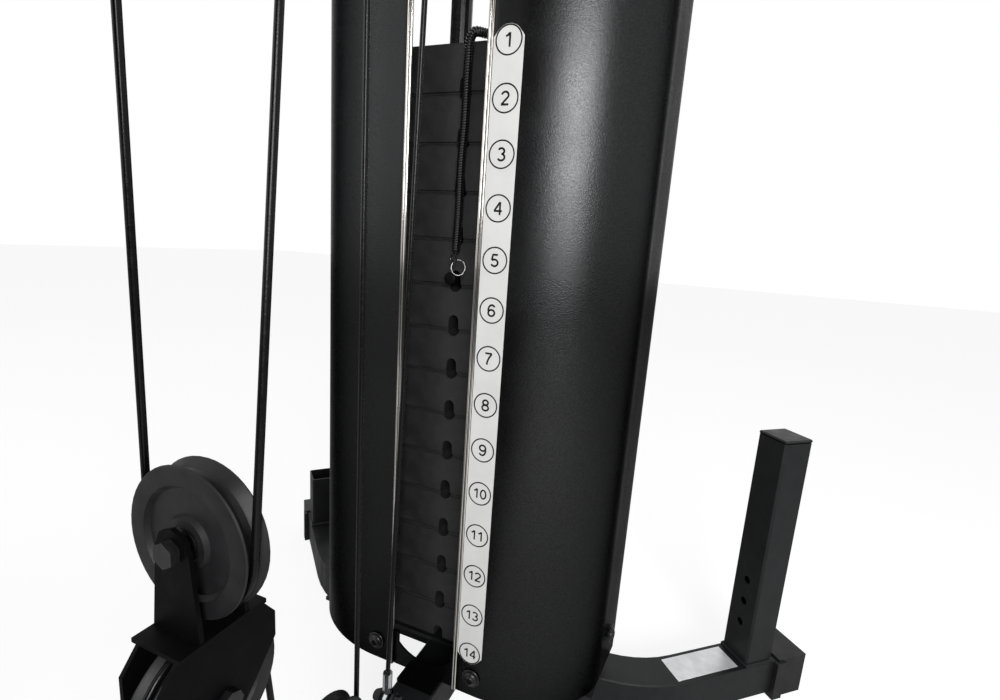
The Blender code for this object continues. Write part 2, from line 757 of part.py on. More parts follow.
def cover_side(side, name):
    """One bent sheet of the cover: an open surface made thick."""
    mesh = bpy.data.meshes.new(name)
    line = [(side * x, y) for x, y in cover_line()]
    count = len(line)
    points = [(x, y, COVER_BOTTOM) for x, y in line] + [(x, y, COVER_TOP) for x, y in line]
    faces = [(i, i + 1, i + 1 + count, i + count) for i in range(count - 1)]
    mesh.from_pydata(points, [], faces)
    sheet = link(bpy.data.objects.new(name, mesh))
    thick = sheet.modifiers.new("Sheet", "SOLIDIFY")
    thick.thickness = SHEET
    thick.offset = -1.0 if side > 0 else 1.0
    thick.use_even_offset = True
    settle(sheet)
    shape = bmesh.new()
    shape.from_mesh(sheet.data)
    bmesh.ops.recalc_face_normals(shape, faces=shape.faces)
    shape.to_mesh(sheet.data)
    shape.free()
    for height in (BOLT_Z, COVER_TOP - 0.030):
        hole = pipe_hole((side * BOLT_X, 0, height), (0, 1, 0), BOLT_RADIUS + GAP * 2, 0.01)
        cut(sheet, hole)
    centre = (side * COVER_REAR_X, SIDE_BOLT_Y, SIDE_BOLT_Z)
    cut(sheet, pipe_hole(centre, (1, 0, 0), BOLT_RADIUS + GAP * 2, 0.02))
    name_part(sheet, name, "cover_paint")


def cover_trims():
    """U-shaped edge trims that clip over both edges of the opening."""
    outer = OPENING_HALF
    wall = TRIM_WALL
    slot = SHEET / 2 + GAP
    middle = SHEET / 2
    far = outer + TRIM_DEPTH
    inner = SHEET_EDGE - GAP
    profile = [
        (outer, middle - slot - wall),
        (far, middle - slot - wall),
        (far, middle - slot),
        (inner, middle - slot),
        (inner, middle + slot),
        (far, middle + slot),
        (far, middle + slot + wall),
        (outer, middle + slot + wall),
    ]
    centre = (COVER_BOTTOM + COVER_TOP) / 2
    for side, word in ((-1, "left"), (1, "right")):
        points = [(side * x, y) for x, y in profile]
        place = Matrix.Translation((0, 0, centre))
        trim = outline_solid(points, COVER_TOP - COVER_BOTTOM, place)
        name_part(trim, f"trim_{word}", "chrome")


def dip_points():
    """Curved top edge of the lower band, an arc through three heights."""
    rise = BAND_DIP_EDGE - BAND_DIP
    radius = (BAND_DIP_HALF**2 + rise**2) / (2 * rise)
    half_angle = math.asin(BAND_DIP_HALF / radius)
    centre = (0.0, BAND_DIP + radius)
    return arc(centre, radius, -math.pi / 2 + half_angle, -math.pi / 2 - half_angle, 10)


def lower_band():
    low = BEAM_TOP + GAP + BAND
    points = [(BAND_HALF, low), (BAND_HALF, BAND_RISE), (BAND_DIP_HALF, BAND_RISE)]
    points += dip_points()
    points += [(-BAND_DIP_HALF, BAND_RISE), (-BAND_HALF, BAND_RISE), (-BAND_HALF, low)]
    band = outline_solid(points, BAND, upright(BAND_Y + BAND / 2))
    half = TUBE / 2 - WELD
    foot_low = (-half, BAND_Y - 0.020, BEAM_TOP + GAP)
    foot = block(foot_low, (half, BAND_Y + BAND / 2, BEAM_TOP + GAP + BAND * 1.5))
    fuse(band, foot)
    for x in (-BOLT_X, BOLT_X):
        cut(band, pipe_hole((x, BAND_Y, BOLT_Z), (0, 1, 0), BOLT_RADIUS + GAP * 2, 0.02))
    name_part(band, "lower_band", "black_paint")


def upper_band():
    """Bracket under the top beam that ties the cover's top to the guide rods."""
    height = COVER_TOP - 0.030
    top = TOP_BEAM_BOTTOM - BAND
    band = block((-BAND_HALF, BAND_Y, height - 0.030), (BAND_HALF, BAND_Y + BAND, top + WELD))
    for x in (-BOLT_X, BOLT_X):
        cut(band, pipe_hole((x, BAND_Y, height), (0, 1, 0), BOLT_RADIUS + GAP * 2, 0.02))
    run = TOP_WHEEL_Z + PITCH_RADIUS
    window_low = (-0.010, BAND_Y - BAND, run - 0.010)
    cut(band, block(window_low, (0.010, BAND_Y + BAND * 2, run + 0.010)))
    plate = block((-BAND_HALF, BAND_Y, top), (BAND_HALF, TOP_BEAM_REAR_Y, TOP_BEAM_BOTTOM + WELD))
    return fuse(band, plate)


def bolt(head, direction, grip):
    """Button head bolt with washer, its head's seat at a point, and its shank along a direction."""
    head = Vector(head)
    direction = Vector(direction).normalized()
    seat = head - direction * GAP
    dome = [(0.0, HEAD_HEIGHT), (HEAD_RADIUS * 0.62, HEAD_HEIGHT), (HEAD_RADIUS, 0.0), (0.0, 0.0)]
    cap = turned(dome, seat - direction * (WASHER * 0.8), -direction, 8)
    washer = rod(seat, seat - direction * WASHER, WASHER_RADIUS, 10)
    shank = rod(seat - direction * WASHER / 2, seat + direction * grip, BOLT_RADIUS, 6)
    return fuse(washer, cap, shank)


def nut(centre, direction):
    direction = Vector(direction).normalized()
    centre = Vector(centre)
    return rod(centre, centre + direction * 0.006, 0.0095, 6)


def cover_bolts():
    grip = BAND_Y + BAND + 0.004
    for x, word in ((-BOLT_X, "left"), (BOLT_X, "right")):
        made = bolt((x, 0, BOLT_Z), (0, 1, 0), grip)
        fuse(made, nut((x, BAND_Y + BAND + GAP, BOLT_Z), (0, 1, 0)))
        name_part(made, f"front_bolt_{word}", "black_steel")
    reach = COVER_REAR_X - SEAT_PLATE_HALF + SEAT_PLATE
    for side, word in ((-1, "left"), (1, "right")):
        share = (SIDE_BOLT_Y - CORNER_Y) / (COVER_REAR_Y - CORNER_Y)
        wall_x = FLAT_HALF + CORNER_X + (COVER_REAR_X - FLAT_HALF - CORNER_X) * share
        seat = wall_x + 0.0013
        made = bolt((side * seat, SIDE_BOLT_Y, SIDE_BOLT_Z), (-side, 0, 0), reach + 0.006)
        nut_x = side * (SEAT_PLATE_HALF - SEAT_PLATE - GAP)
        fuse(made, nut((nut_x, SIDE_BOLT_Y, SIDE_BOLT_Z), (-side, 0, 0)))
        name_part(made, f"side_bolt_{word}", "black_steel")


def number_scale():
    """Long thin plate beside the opening that carries the plate numbers."""
    left = OPENING_HALF + TRIM_DEPTH + GAP
    radius = SCALE_WIDTH / 2
    centre = left + radius
    low = STACK_BOTTOM + PLATE_PITCH / 2 + 0.0075
    top = low + (PLATE_COUNT - 1) * PLATE_PITCH + 0.011
    points = arc((centre, low), radius, math.pi, 2 * math.pi, 10)
    points += [(left + SCALE_WIDTH, top - 0.010), (left + SCALE_WIDTH - 0.006, top)]
    points += [(left + 0.006, top), (left, top - 0.010)]
    plate = outline_solid(points, SCALE_SHEET, upright(-GAP - SCALE_SHEET / 2))
    name_part(plate, "number_scale", "scale_sheet", smooth=False)


# Pulleys

# Every wheel: name, X plane, Y, Z and the way that the cable turns round it
WHEELS = {
    "pulley_stack_rear": (0.0, STACK_REAR_WHEEL_Y, TOP_WHEEL_Z, 1),
    "pulley_stack_front": (0.0, STACK_FRONT_WHEEL_Y, TOP_WHEEL_Z, 1),
    "pulley_tower_high": (HIGH_PLANE_X, HIGH_TOP_Y, TOP_WHEEL_Z, 1),
    "pulley_block_lower": (0.0, BLOCK_Y, BLOCK_LOWER_Z, 1),
    "pulley_low_rear": (0.0, LOW_REAR_Y, LOW_WHEEL_Z, -1),
    "pulley_low_mast": (0.0, LOW_MAST_Y, LOW_WHEEL_Z, -1),
    "pulley_low_front": (0.0, LOW_FRONT_Y, LOW_WHEEL_Z, -1),
    "pulley_mast": (0.0, MAST_WHEEL_Y, MAST_WHEEL_Z, 1),
    "pulley_press": (0.0, PRESS_WHEEL_Y, PRESS_WHEEL_Z, -1),
    "pulley_beam": (0.0, BEAM_WHEEL_Y, TOP_WHEEL_Z, 1),
    "pulley_lat": (0.0, LAT_WHEEL_Y, TOP_WHEEL_Z, 1),
}


def wheel_profile():
    bore = AXLE_RADIUS + GAP
    groove = PITCH_RADIUS - CABLE_RADIUS - CABLE_GAP
    half = [
        (bore, WHEEL_HALF),
        (WHEEL_RADIUS, WHEEL_HALF),
        (groove, CABLE_RADIUS + 0.0005),
    ]
    return half + [(radius, -height) for radius, height in reversed(half)]


def pulleys():
    for name, (x, y, z, _turn) in WHEELS.items():
        wheel = turned(wheel_profile(), (x, y, z), (1, 0, 0), 14)
        name_part(wheel, name, "nylon")
    wheel = turned(wheel_profile(), (0.0, BLOCK_Y, BLOCK_UPPER_Z), (0, 1, 0), 14)
    name_part(wheel, "pulley_block_upper", "nylon")


def axle(centre, axis=(1, 0, 0), reach=0.004):
    """Bolt of one wheel, through both cheeks, with its head and nut."""
    centre = Vector(centre)
    axis = Vector(axis)
    out = CHEEK_X + CHEEK + reach
    pin = rod(centre - axis * out, centre + axis * out, AXLE_RADIUS, 8)
    for side in (-1, 1):
        seat = centre + axis * side * (CHEEK_X + CHEEK + GAP)
        head = rod(seat, seat + axis * side * 0.0055, 0.0085, 6 if side < 0 else 8)
        fuse(pin, head)
    return pin


def cheek_pair(x, points, wheels):
    """Two parallel plates with an outline in Y-Z, bored for the wheels' axles."""
    plates = []
    for side in (-1, 1):
        plate = outline_solid(points, CHEEK, sideways(x + side * (CHEEK_X + CHEEK / 2)))
        for name in wheels:
            _x, y, z, _turn = WHEELS[name]
            centre = (x + side * CHEEK_X, y, z)
            cut(plate, pipe_hole(centre, (1, 0, 0), AXLE_RADIUS + GAP, 0.006))
        plates.append(plate)
    return plates


def pinned_cheeks(name, points):
    """Two plates beside a fixed wheel, with its pin pressed in and its heads outside."""
    x, y, z, _turn = WHEELS[name]
    plates = cheek_pair(x, points, ())
    return weld(axle((x, y, z)), *plates)


def hanger(name, top):
    """Bracket that hangs from a flat face at a height."""
    x, y, z, _turn = WHEELS[name]
    lobe = arc((y, z), 0.016, math.pi, 2 * math.pi, 3)
    points = [(y - 0.025, top), *lobe, (y + 0.025, top)]
    out = CHEEK_X + CHEEK
    bridge = block((x - out, y - 0.025, top - 0.004), (x + out, y + 0.025, top + WELD))
    return weld(bridge, pinned_cheeks(name, points))


def high_bracket(top):
    """Bracket of the wheel beside the stack's own: its top plate reaches under the beam."""
    x, y, _z, _turn = WHEELS["pulley_tower_high"]
    out = CHEEK_X + CHEEK
    arm = block((-0.022, y - 0.055, top - 0.004), (x + out, y - 0.024, top + WELD))
    return weld(hanger("pulley_tower_high", top), arm)


def mast_bracket():
    """Cheeks on the mast's rear face for the wheel that turns the high cable forward."""
    _x, y, z, _turn = WHEELS["pulley_mast"]
    wall = MAST_REAR_Y - WELD
    lobe = arc((y, z), 0.016, -math.pi / 2, math.pi / 2, 3)
    points = [(wall, z + 0.030), (wall, z - 0.030), *lobe]
    return pinned_cheeks("pulley_mast", points)


def low_bracket(name):
    """Upright cheeks on the main beam."""
    _x, y, z, _turn = WHEELS[name]
    floor = BEAM_TOP - WELD
    lobe = arc((y, z), 0.014, 0.0, math.pi, 3)
    points = [(y - 0.020, floor), (y + 0.020, floor), *lobe]
    return pinned_cheeks(name, points)


def floating_block():
    """Yoke with a wheel above, turned across the machine, and a wheel below, turned along it."""
    y = BLOCK_Y
    web_top = BLOCK_WEB_Z + CHEEK / 2
    depth = BLOCK_HALF_DEPTH
    lower = [
        (y - depth * 0.7, BLOCK_WEB_Z),
        (y - depth, BLOCK_WEB_Z - 0.016),
        (y - depth, BLOCK_WEB_Z - 0.035),
        (y - 0.014, BLOCK_LOWER_Z - 0.014),
        (y + 0.014, BLOCK_LOWER_Z - 0.014),
        (y + depth, BLOCK_WEB_Z - 0.035),
        (y + depth, BLOCK_WEB_Z - 0.016),
        (y + depth * 0.7, BLOCK_WEB_Z),
    ]
    plates = cheek_pair(0.0, lower, ("pulley_block_lower",))
    lobe = arc((0.0, BLOCK_UPPER_Z), 0.014, 0.0, math.pi, 4)
    upper = [(-0.020, BLOCK_WEB_Z), (0.020, BLOCK_WEB_Z), *lobe]
    for side in (-1, 1):
        plate = outline_solid(upper, CHEEK, upright(y + side * (CHEEK_X + CHEEK / 2)))
        centre = (0.0, y + side * CHEEK_X, BLOCK_UPPER_Z)
        plates.append(cut(plate, pipe_hole(centre, (0, 1, 0), AXLE_RADIUS + GAP, 0.006)))
    web_low = (-0.0205, y - depth * 0.75, BLOCK_WEB_Z - CHEEK / 2)
    web = block(web_low, (0.0205, y + depth * 0.75, web_top))
    name_part(weld(web, *plates), "floating_block", "black_paint", pivot=(0, y, BLOCK_WEB_Z))
    high = (0.0, y, BLOCK_UPPER_Z)
    name_part(axle(high, (0, 1, 0)), "block_axle_upper", "black_steel", pivot=high)
    low = (0.0, y, BLOCK_LOWER_Z)
    name_part(axle(low), "block_axle_lower", "black_steel", pivot=low)


# Cables


def tangent(first, second):
    """Ends of the straight run between two stops, each a (x, y, z, radius, turn)."""
    start = Vector((first[1], first[2]))
    end = Vector((second[1], second[2]))
    span = end - start
    offset = second[4] * second[3] - first[4] * first[3]
    angle = math.atan2(span.y, span.x) - math.asin(offset / span.length)
    normal = Vector((-math.sin(angle), math.cos(angle)))
    return start - normal * first[4] * first[3], end - normal * second[4] * second[3]


def cable_points(stops):
    """Points of a cable: straight between stops, and round each wheel in steps of 22 degrees or less."""
    runs = [tangent(a, b) for a, b in zip(stops, stops[1:])]
    points = [(stops[0][0], *runs[0][0])]
    for stop, incoming, outgoing in zip(stops[1:], runs, runs[1:]):
        centre = Vector((stop[1], stop[2]))
        arrive = incoming[1] - centre
        leave = outgoing[0] - centre
        start = math.atan2(arrive.y, arrive.x)
        end = math.atan2(leave.y, leave.x)
        turn = stop[4]
        sweep = ((end - start) * turn) % (2 * math.pi)
        steps = max(1, math.ceil(sweep / math.radians(22)))
        for i in range(steps + 1):
            angle = start + turn * sweep * i / steps
            y = centre.x + stop[3] * math.cos(angle)
            z = centre.y + stop[3] * math.sin(angle)
            points.append((stop[0], y, z))
    points.append((stops[-1][0], *runs[-1][1]))
    return points


def wheel_stop(name):
    x, y, z, turn = WHEELS[name]
    return (x, y, z, PITCH_RADIUS, turn)


def end_stop(x, y, z):
    return (x, y, z, 0.0, 0)


def cables():
    rising = [end_stop(0, ANCHOR_Y, FERRULE_TOP - 0.002), wheel_stop("pulley_tower_high")]
    rising.append(end_stop(PITCH_RADIUS, BLOCK_Y, BLOCK_UPPER_Z))
    high = cable_points(rising)
    under = arc((0.0, BLOCK_UPPER_Z), PITCH_RADIUS, 0.0, -math.pi, 9)
    high += [(x, BLOCK_Y, z) for x, z in under[1:-1]]
    forward = [end_stop(-PITCH_RADIUS, BLOCK_Y, BLOCK_UPPER_Z)]
    forward += [wheel_stop(f"pulley_{name}") for name in ("mast", "press", "beam", "lat")]
    forward.append(end_stop(0, LAT_Y, LAT_BALL_Z + BALL_RADIUS + GAP))
    high += cable_points(forward)
    name_part(curve_solid(high, CABLE_RADIUS, 1), "high_cable", "cable_sheath")
    stack = [end_stop(0, PLATE_Y, STEM_TOP + 0.030)]
    order = ("stack_rear", "stack_front", "low_rear", "block_lower", "low_mast", "low_front")
    stack += [wheel_stop(f"pulley_{name}") for name in order]
    stack.append(end_stop(0, LUG_Y, LEVER_LUG_Z))
    name_part(curve_solid(cable_points(stack), CABLE_RADIUS, 1), "stack_cable", "cable_sheath")


def cable_anchor():
    """Crimp ferrule of the high cable's fixed end, with its eye, clevis and cross bolt."""
    bore = CABLE_RADIUS + GAP
    ferrule = sleeve((0, ANCHOR_Y, 0.122), (0, ANCHOR_Y, FERRULE_TOP), bore, 0.0052, 8)
    eye = turned(ring_profile(0.0085, 0.0026, 4), (0, ANCHOR_Y, 0.1140), (1, 0, 0), 10)
    plug = rod((0, ANCHOR_Y, 0.119), (0, ANCHOR_Y, 0.126), 0.0048, 8)
    name_part(fuse(ferrule, plug, eye), "anchor_ferrule", "chrome")


def anchor_clevis():
    floor = BEAM_TOP - WELD
    foot = block((-0.012, ANCHOR_Y - 0.018, floor), (0.012, ANCHOR_Y + 0.018, floor + 0.004))
    for side in (-1, 1):
        lobe = arc((ANCHOR_Y, 0.1125), 0.009, 0.0, math.pi, 4)
        points = [(ANCHOR_Y - 0.012, floor), (ANCHOR_Y + 0.012, floor), *lobe]
        ear = outline_solid(points, 0.003, sideways(side * 0.0075))
        fuse(foot, ear)
    return weld(foot, anchor_bolt())


def anchor_bolt():
    pin = rod((-0.016, ANCHOR_Y, 0.1125), (0.013, ANCHOR_Y, 0.1125), 0.004, 10)
    head = turned(
        [(0.0, 0.007), (0.005, 0.006), (0.008, 0.0), (0.0, 0.0)], (-0.0093, ANCHOR_Y, 0.1125), (-1, 0, 0), 12
    )
    nut_end = rod((0.0093, ANCHOR_Y, 0.1125), (0.0145, ANCHOR_Y, 0.1125), 0.0075, 6)
    return fuse(pin, head, nut_end)


# Mast and top beam


def mast():
    half = MAST / 2
    low = BEAM_TOP + GAP
    tube = square_tube((-half, MAST_FRONT_Y, low + 0.003), (half, MAST_REAR_Y, MAST_TOP - 0.002), 2)
    for bottom in (low, MAST_TOP - 0.005):
        flange_low = (-half - 0.015, MAST_FRONT_Y - 0.004, bottom)
        flange = block(flange_low, (half + 0.015, MAST_REAR_Y + 0.004, bottom + 0.005))
        fuse(tube, flange)
    cable_low = LOW_WHEEL_Z - PITCH_RADIUS
    cable_high = MAST_WHEEL_Z + PITCH_RADIUS
    for height in (cable_low, cable_high):
        slot_low = (-SLOT_HALF_WIDTH, MAST_FRONT_Y - 0.01, height - SLOT_BELOW_CABLE)
        slot_high = (SLOT_HALF_WIDTH, MAST_REAR_Y + 0.01, height + SLOT_ABOVE_CABLE)
        slot = block(slot_low, slot_high)
        cut(tube, slot)
    weld(tube, mast_bracket(), press_bracket(), *back_spacers())
    name_part(tube, "mast", "black_paint")


def top_beam():
    half = TUBE / 2
    low = (-half, TOP_BEAM_FRONT_Y, TOP_BEAM_BOTTOM)
    beam = square_tube(low, (half, TOP_BEAM_REAR_Y, TOP_BEAM_BOTTOM + TUBE), 1)
    weld(beam, upper_band(), hanger("pulley_stack_rear", TOP_BEAM_BOTTOM - BAND))
    for name in ("pulley_stack_front", "pulley_beam", "pulley_lat"):
        weld(beam, hanger(name, TOP_BEAM_BOTTOM))
    weld(beam, high_bracket(TOP_BEAM_BOTTOM))
    name_part(beam, "top_beam", "black_paint")


# Seat, back pad and leg station


def pad_solid(low, high, axis, crown, waist):
    """Cushion between two corners: crowned on one face, drawn in along its sides."""
    low = Vector(low)
    high = Vector(high)
    shape = bmesh.new()
    bmesh.ops.create_cube(shape, size=2.0)
    bmesh.ops.subdivide_edges(shape, edges=shape.edges, cuts=4, use_grid_fill=True)
    centre = (low + high) / 2
    half = (high - low) / 2
    flat = [i for i in range(3) if i != axis]
    for vert in shape.verts:
        point = vert.co.copy()
        u, v = (point[i] for i in flat)
        lift = crown * (1 - u**4) * (1 - v**4)
        face = point[axis]
        rim = max(abs(u), abs(v)) ** 8 * 0.28
        height = face * half[axis] * (1 - rim) + (lift - crown) * max(face, 0.0)
        pull_u = 1 - waist * (1 - v**2) * abs(u) ** 6
        pull_v = 1 - waist * (1 - u**2) * abs(v) ** 6
        corner = 1 - 0.05 * (u * v) ** 4
        new = Vector((0, 0, 0))
        new[flat[0]] = u * half[flat[0]] * pull_u * corner
        new[flat[1]] = v * half[flat[1]] * pull_v * corner
        new[axis] = height
        vert.co = centre + new
    mesh = bpy.data.meshes.new("pad")
    shape.to_mesh(mesh)
    shape.free()
    return link(bpy.data.objects.new("pad", mesh))


def seat_pad():
    bottom = SEAT_TOP - SEAT_PAD
    low = (-SEAT_HALF_WIDTH, SEAT_REAR_Y - SEAT_LENGTH, bottom)
    pad = pad_solid(low, (SEAT_HALF_WIDTH, SEAT_REAR_Y, SEAT_TOP), 2, 0.010, 0.03)
    name_part(pad, "seat_pad", "upholstery")


def seat_bracket():
    """Riser and plate between the seat beam and the seat."""
    bottom = SEAT_TOP - SEAT_PAD
    middle = SEAT_REAR_Y - SEAT_LENGTH / 2
    riser_top = bottom - GAP - 0.003
    half = LEVER / 2
    low = (-half, middle - 0.10, SEAT_BEAM_TOP - WELD)
    riser = block(low, (half, middle + 0.10, riser_top))
    plate_low = (-0.10, middle - 0.12, riser_top - WELD)
    plate = block(plate_low, (0.10, middle + 0.12, bottom - GAP))
    return fuse(riser, plate)


def seat_beam():
    half = TUBE / 2
    rear = MAST_FRONT_Y - GAP
    bottom = SEAT_BEAM_TOP - TUBE
    low = (-half, SEAT_BEAM_FRONT_Y, bottom)
    beam = square_tube(low, (half, rear - 0.003, SEAT_BEAM_TOP), 1)
    flange_low = (-half - 0.004, rear - 0.005, bottom - 0.020)
    flange = block(flange_low, (half + 0.004, rear, SEAT_BEAM_TOP + 0.020))
    fuse(beam, flange)
    y, z = LEVER_PIVOT
    for side in (-1, 1):
        lobe = arc((y, z), 0.020, math.pi / 2, 3 * math.pi / 2, 5)
        points = [(y + 0.060, z - 0.020), (y + 0.060, z + 0.020), *lobe]
        ear = outline_solid(points, 0.005, sideways(side * (half + 0.0010)))
        fuse(beam, ear)
    cut(beam, pipe_hole((0, y, z), (1, 0, 0), 0.0083, 0.05))
    weld(beam, front_post(), seat_bracket(), upper_bar())
    name_part(beam, "seat_frame", "black_paint")


def front_post():
    """Post under the seat beam's front, slotted for the low cable."""
    half = TUBE / 2
    top = SEAT_BEAM_TOP - TUBE + WELD
    low = (-half, SEAT_BEAM_FRONT_Y, BEAM_TOP + GAP)
    post = square_tube(low, (half, SEAT_BEAM_FRONT_Y + TUBE, top), 2)
    cable_low = LOW_WHEEL_Z - PITCH_RADIUS
    slot_low = (-SLOT_HALF_WIDTH, SEAT_BEAM_FRONT_Y - 0.01, cable_low - 0.008)
    slot_high = (SLOT_HALF_WIDTH, SEAT_BEAM_FRONT_Y + TUBE + 0.01, LEVER_LUG_Z + 0.012)
    slot = block(slot_low, slot_high)
    return cut(post, slot)


def back_pad():
    rear = MAST_FRONT_Y - BACK_STANDOFF - GAP
    low = (-BACK_HALF_WIDTH, -BACK_PAD, BACK_BOTTOM)
    pad = pad_solid(low, (BACK_HALF_WIDTH, 0.0, BACK_TOP), 1, 0.010, 0.03)
    shape = pad.data
    shape.transform(Matrix.Translation((0, rear - BACK_PAD, 0)) @ Matrix.Diagonal((1, -1, 1, 1)))
    shape.flip_normals()
    name_part(pad, "back_pad", "upholstery")


def back_spacers():
    """Two blocks on the mast's front face behind the back pad."""
    spacers = []
    for share in (0.22, 0.78):
        height = BACK_BOTTOM + (BACK_TOP - BACK_BOTTOM) * share
        low = (-0.080, MAST_FRONT_Y - BACK_STANDOFF, height - 0.025)
        spacers.append(block(low, (0.080, MAST_FRONT_Y + WELD, height + 0.025)))
    return spacers


def leg_station():
    y, z = LEVER_PIVOT
    half = LEVER / 2
    lever = square_tube((-half, y - half, LEVER_BOTTOM), (half, y + half, z + 0.018), 2)
    lower = (y, LOWER_ROLLER_Z)
    bar_half = ROLLER_START + ROLLER_LENGTH + 0.006
    bar = rod((-bar_half, *lower), (bar_half, *lower), ROLLER_BAR, 10)
    fuse(lever, bar)
    lug = block((-0.003, y + half - 0.001, LEVER_LUG_Z - 0.008), (0.003, LUG_Y - 0.002, LEVER_LUG_Z + 0.008))
    fuse(lever, lug)
    bushing = rod((-half - 0.003, y, z), (half + 0.003, y, z), 0.014, 12)
    fuse(lever, bushing)
    cut(lever, pipe_hole((0, y, z), (1, 0, 0), 0.0083, 0.05))
    name_part(lever, "leg_lever", "black_paint", pivot=(0, *LEVER_PIVOT))
    rollers("leg_roller", lower)
    rollers("knee_roller", UPPER_ROLLER)


def lever_pin():
    y, z = LEVER_PIVOT
    out = TUBE / 2 + 0.0055
    pin = rod((-out, y, z), (out, y, z), 0.008, 12)
    for side in (-1, 1):
        fuse(pin, rod((side * (out - 0.001), y, z), (side * (out + 0.006), y, z), 0.0125, 6))
    name_part(pin, "lever_pin", "black_steel")


def upper_bar():
    """Fixed roller bar on two cheeks at the seat beam's front."""
    y, z = UPPER_ROLLER
    bar_half = ROLLER_START + ROLLER_LENGTH + 0.006
    bar = rod((-bar_half, y, z), (bar_half, y, z), ROLLER_BAR, 10)
    low = SEAT_BEAM_TOP - WELD
    for side in (-1, 1):
        lobe = arc((y, z), 0.015, 0.0, math.pi, 4)
        points = [(y - 0.002, low), (y + 0.060, low), (y + 0.060, low + 0.012), *lobe]
        cheek = outline_solid(points, 0.004, sideways(side * 0.018))
        fuse(bar, cheek)
    return bar


def rollers(name, place):
    y, z = place
    for side, word in ((-1, "left"), (1, "right")):
        half = ROLLER_LENGTH / 2
        bore = ROLLER_BAR + GAP
        edge = ROLLER_RADIUS - 0.006
        profile = [
            (bore, half),
            (edge, half),
            (ROLLER_RADIUS, half - 0.006),
            (ROLLER_RADIUS, -half + 0.006),
            (edge, -half),
            (bore, -half),
        ]
        roller = turned(profile, (side * (ROLLER_START + half), y, z), (1, 0, 0), 14)
        name_part(roller, f"{name}_{word}", "foam")


# Press arms


def smooth_path(points, steps=4):
    """Points along a smooth curve through the given ones."""
    vectors = [Vector(point) for point in points]
    padded = [2 * vectors[0] - vectors[1], *vectors, 2 * vectors[-1] - vectors[-2]]
    path = []
    for i in range(len(vectors) - 1):
        before, start, end, after = padded[i : i + 4]
        for step in range(steps):
            t = step / steps
            path.append(
                0.5
                * (
                    2 * start
                    + (end - before) * t
                    + (2 * before - 5 * start + 4 * end - after) * t**2
                    + (3 * start - before - 3 * end + after) * t**3
                )
            )
    path.append(vectors[-1])
    return path


def press_arms():
    y, z = PRESS_PIVOT
    wheel_y = PRESS_WHEEL_Y
    wheel_z = PRESS_WHEEL_Z
    bridge_z = wheel_z - WHEEL_RADIUS - PRESS_TUBE - 0.006
    boss = PRESS_TUBE + 0.006
    frame = rod((-PRESS_X - 0.012, wheel_y, bridge_z), (PRESS_X + 0.012, wheel_y, bridge_z), PRESS_TUBE, 10)
    for side in (-1, 1):
        route = [
            (side * PRESS_X, y, z),
            (side * PRESS_X, wheel_y + 0.012, z - 0.150),
            (side * PRESS_X, wheel_y, bridge_z),
            (side * (PRESS_X + 0.035), wheel_y - 0.020, bridge_z - 0.150),
            (side * (HANDLE_X - 0.030), wheel_y - 0.075, HANDLE_Z + 0.250),
            (side * HANDLE_X, wheel_y - 0.100, HANDLE_Z + 0.080),
            (side * HANDLE_X, wheel_y - 0.105, HANDLE_Z - 0.090),
        ]
        fuse(frame, curve_solid(smooth_path(route, 2), PRESS_TUBE, 2))
        fuse(frame, rod((side * (PRESS_X - 0.028), y, z), (side * (PRESS_X + 0.028), y, z), boss, 10))
        grip_y = wheel_y - 0.104
        start = (side * HANDLE_X, grip_y, HANDLE_Z)
        fuse(frame, rod(start, (side * (HANDLE_X - 0.150), grip_y, HANDLE_Z), 0.0125, 10))
        place = sideways(side * (CHEEK_X + CHEEK / 2))
        lobe = arc((wheel_y, wheel_z), 0.014, 0.0, math.pi, 6)
        points = [(wheel_y - 0.014, bridge_z), (wheel_y + 0.014, bridge_z), *lobe]
        fuse(frame, outline_solid(points, CHEEK, place))
    cut(frame, pipe_hole((0, y, z), (1, 0, 0), 0.0103, 0.2))
    weld(frame, axle((0.0, wheel_y, wheel_z)))
    name_part(frame, "press_arms", "black_paint", pivot=(0, *PRESS_PIVOT))


def press_axle():
    y, z = PRESS_PIVOT
    out = PRESS_X + 0.034
    shaft = rod((-out, y, z), (out, y, z), 0.010, 12)
    for side in (-1, 1):
        fuse(shaft, rod((side * (out - 0.001), y, z), (side * (out + 0.006), y, z), 0.016, 12))
    name_part(shaft, "press_axle", "black_steel")


def press_bracket():
    """Two ears on the mast's front face that carry the press arms' shaft."""
    y, z = PRESS_PIVOT
    wall = MAST_FRONT_Y
    back = block((-0.029, wall - 0.005, z - 0.045), (0.029, wall + WELD, z + 0.045))
    for side in (-1, 1):
        lobe = arc((y, z), 0.020, math.pi / 2, 3 * math.pi / 2, 4)
        points = [(wall - 0.002, z - 0.035), (wall - 0.002, z + 0.035), *lobe]
        fuse(back, outline_solid(points, 0.006, sideways(side * 0.026)))
    cut(back, pipe_hole((0, y, z), (1, 0, 0), 0.0103, 0.05))
    return back


# Lat bar


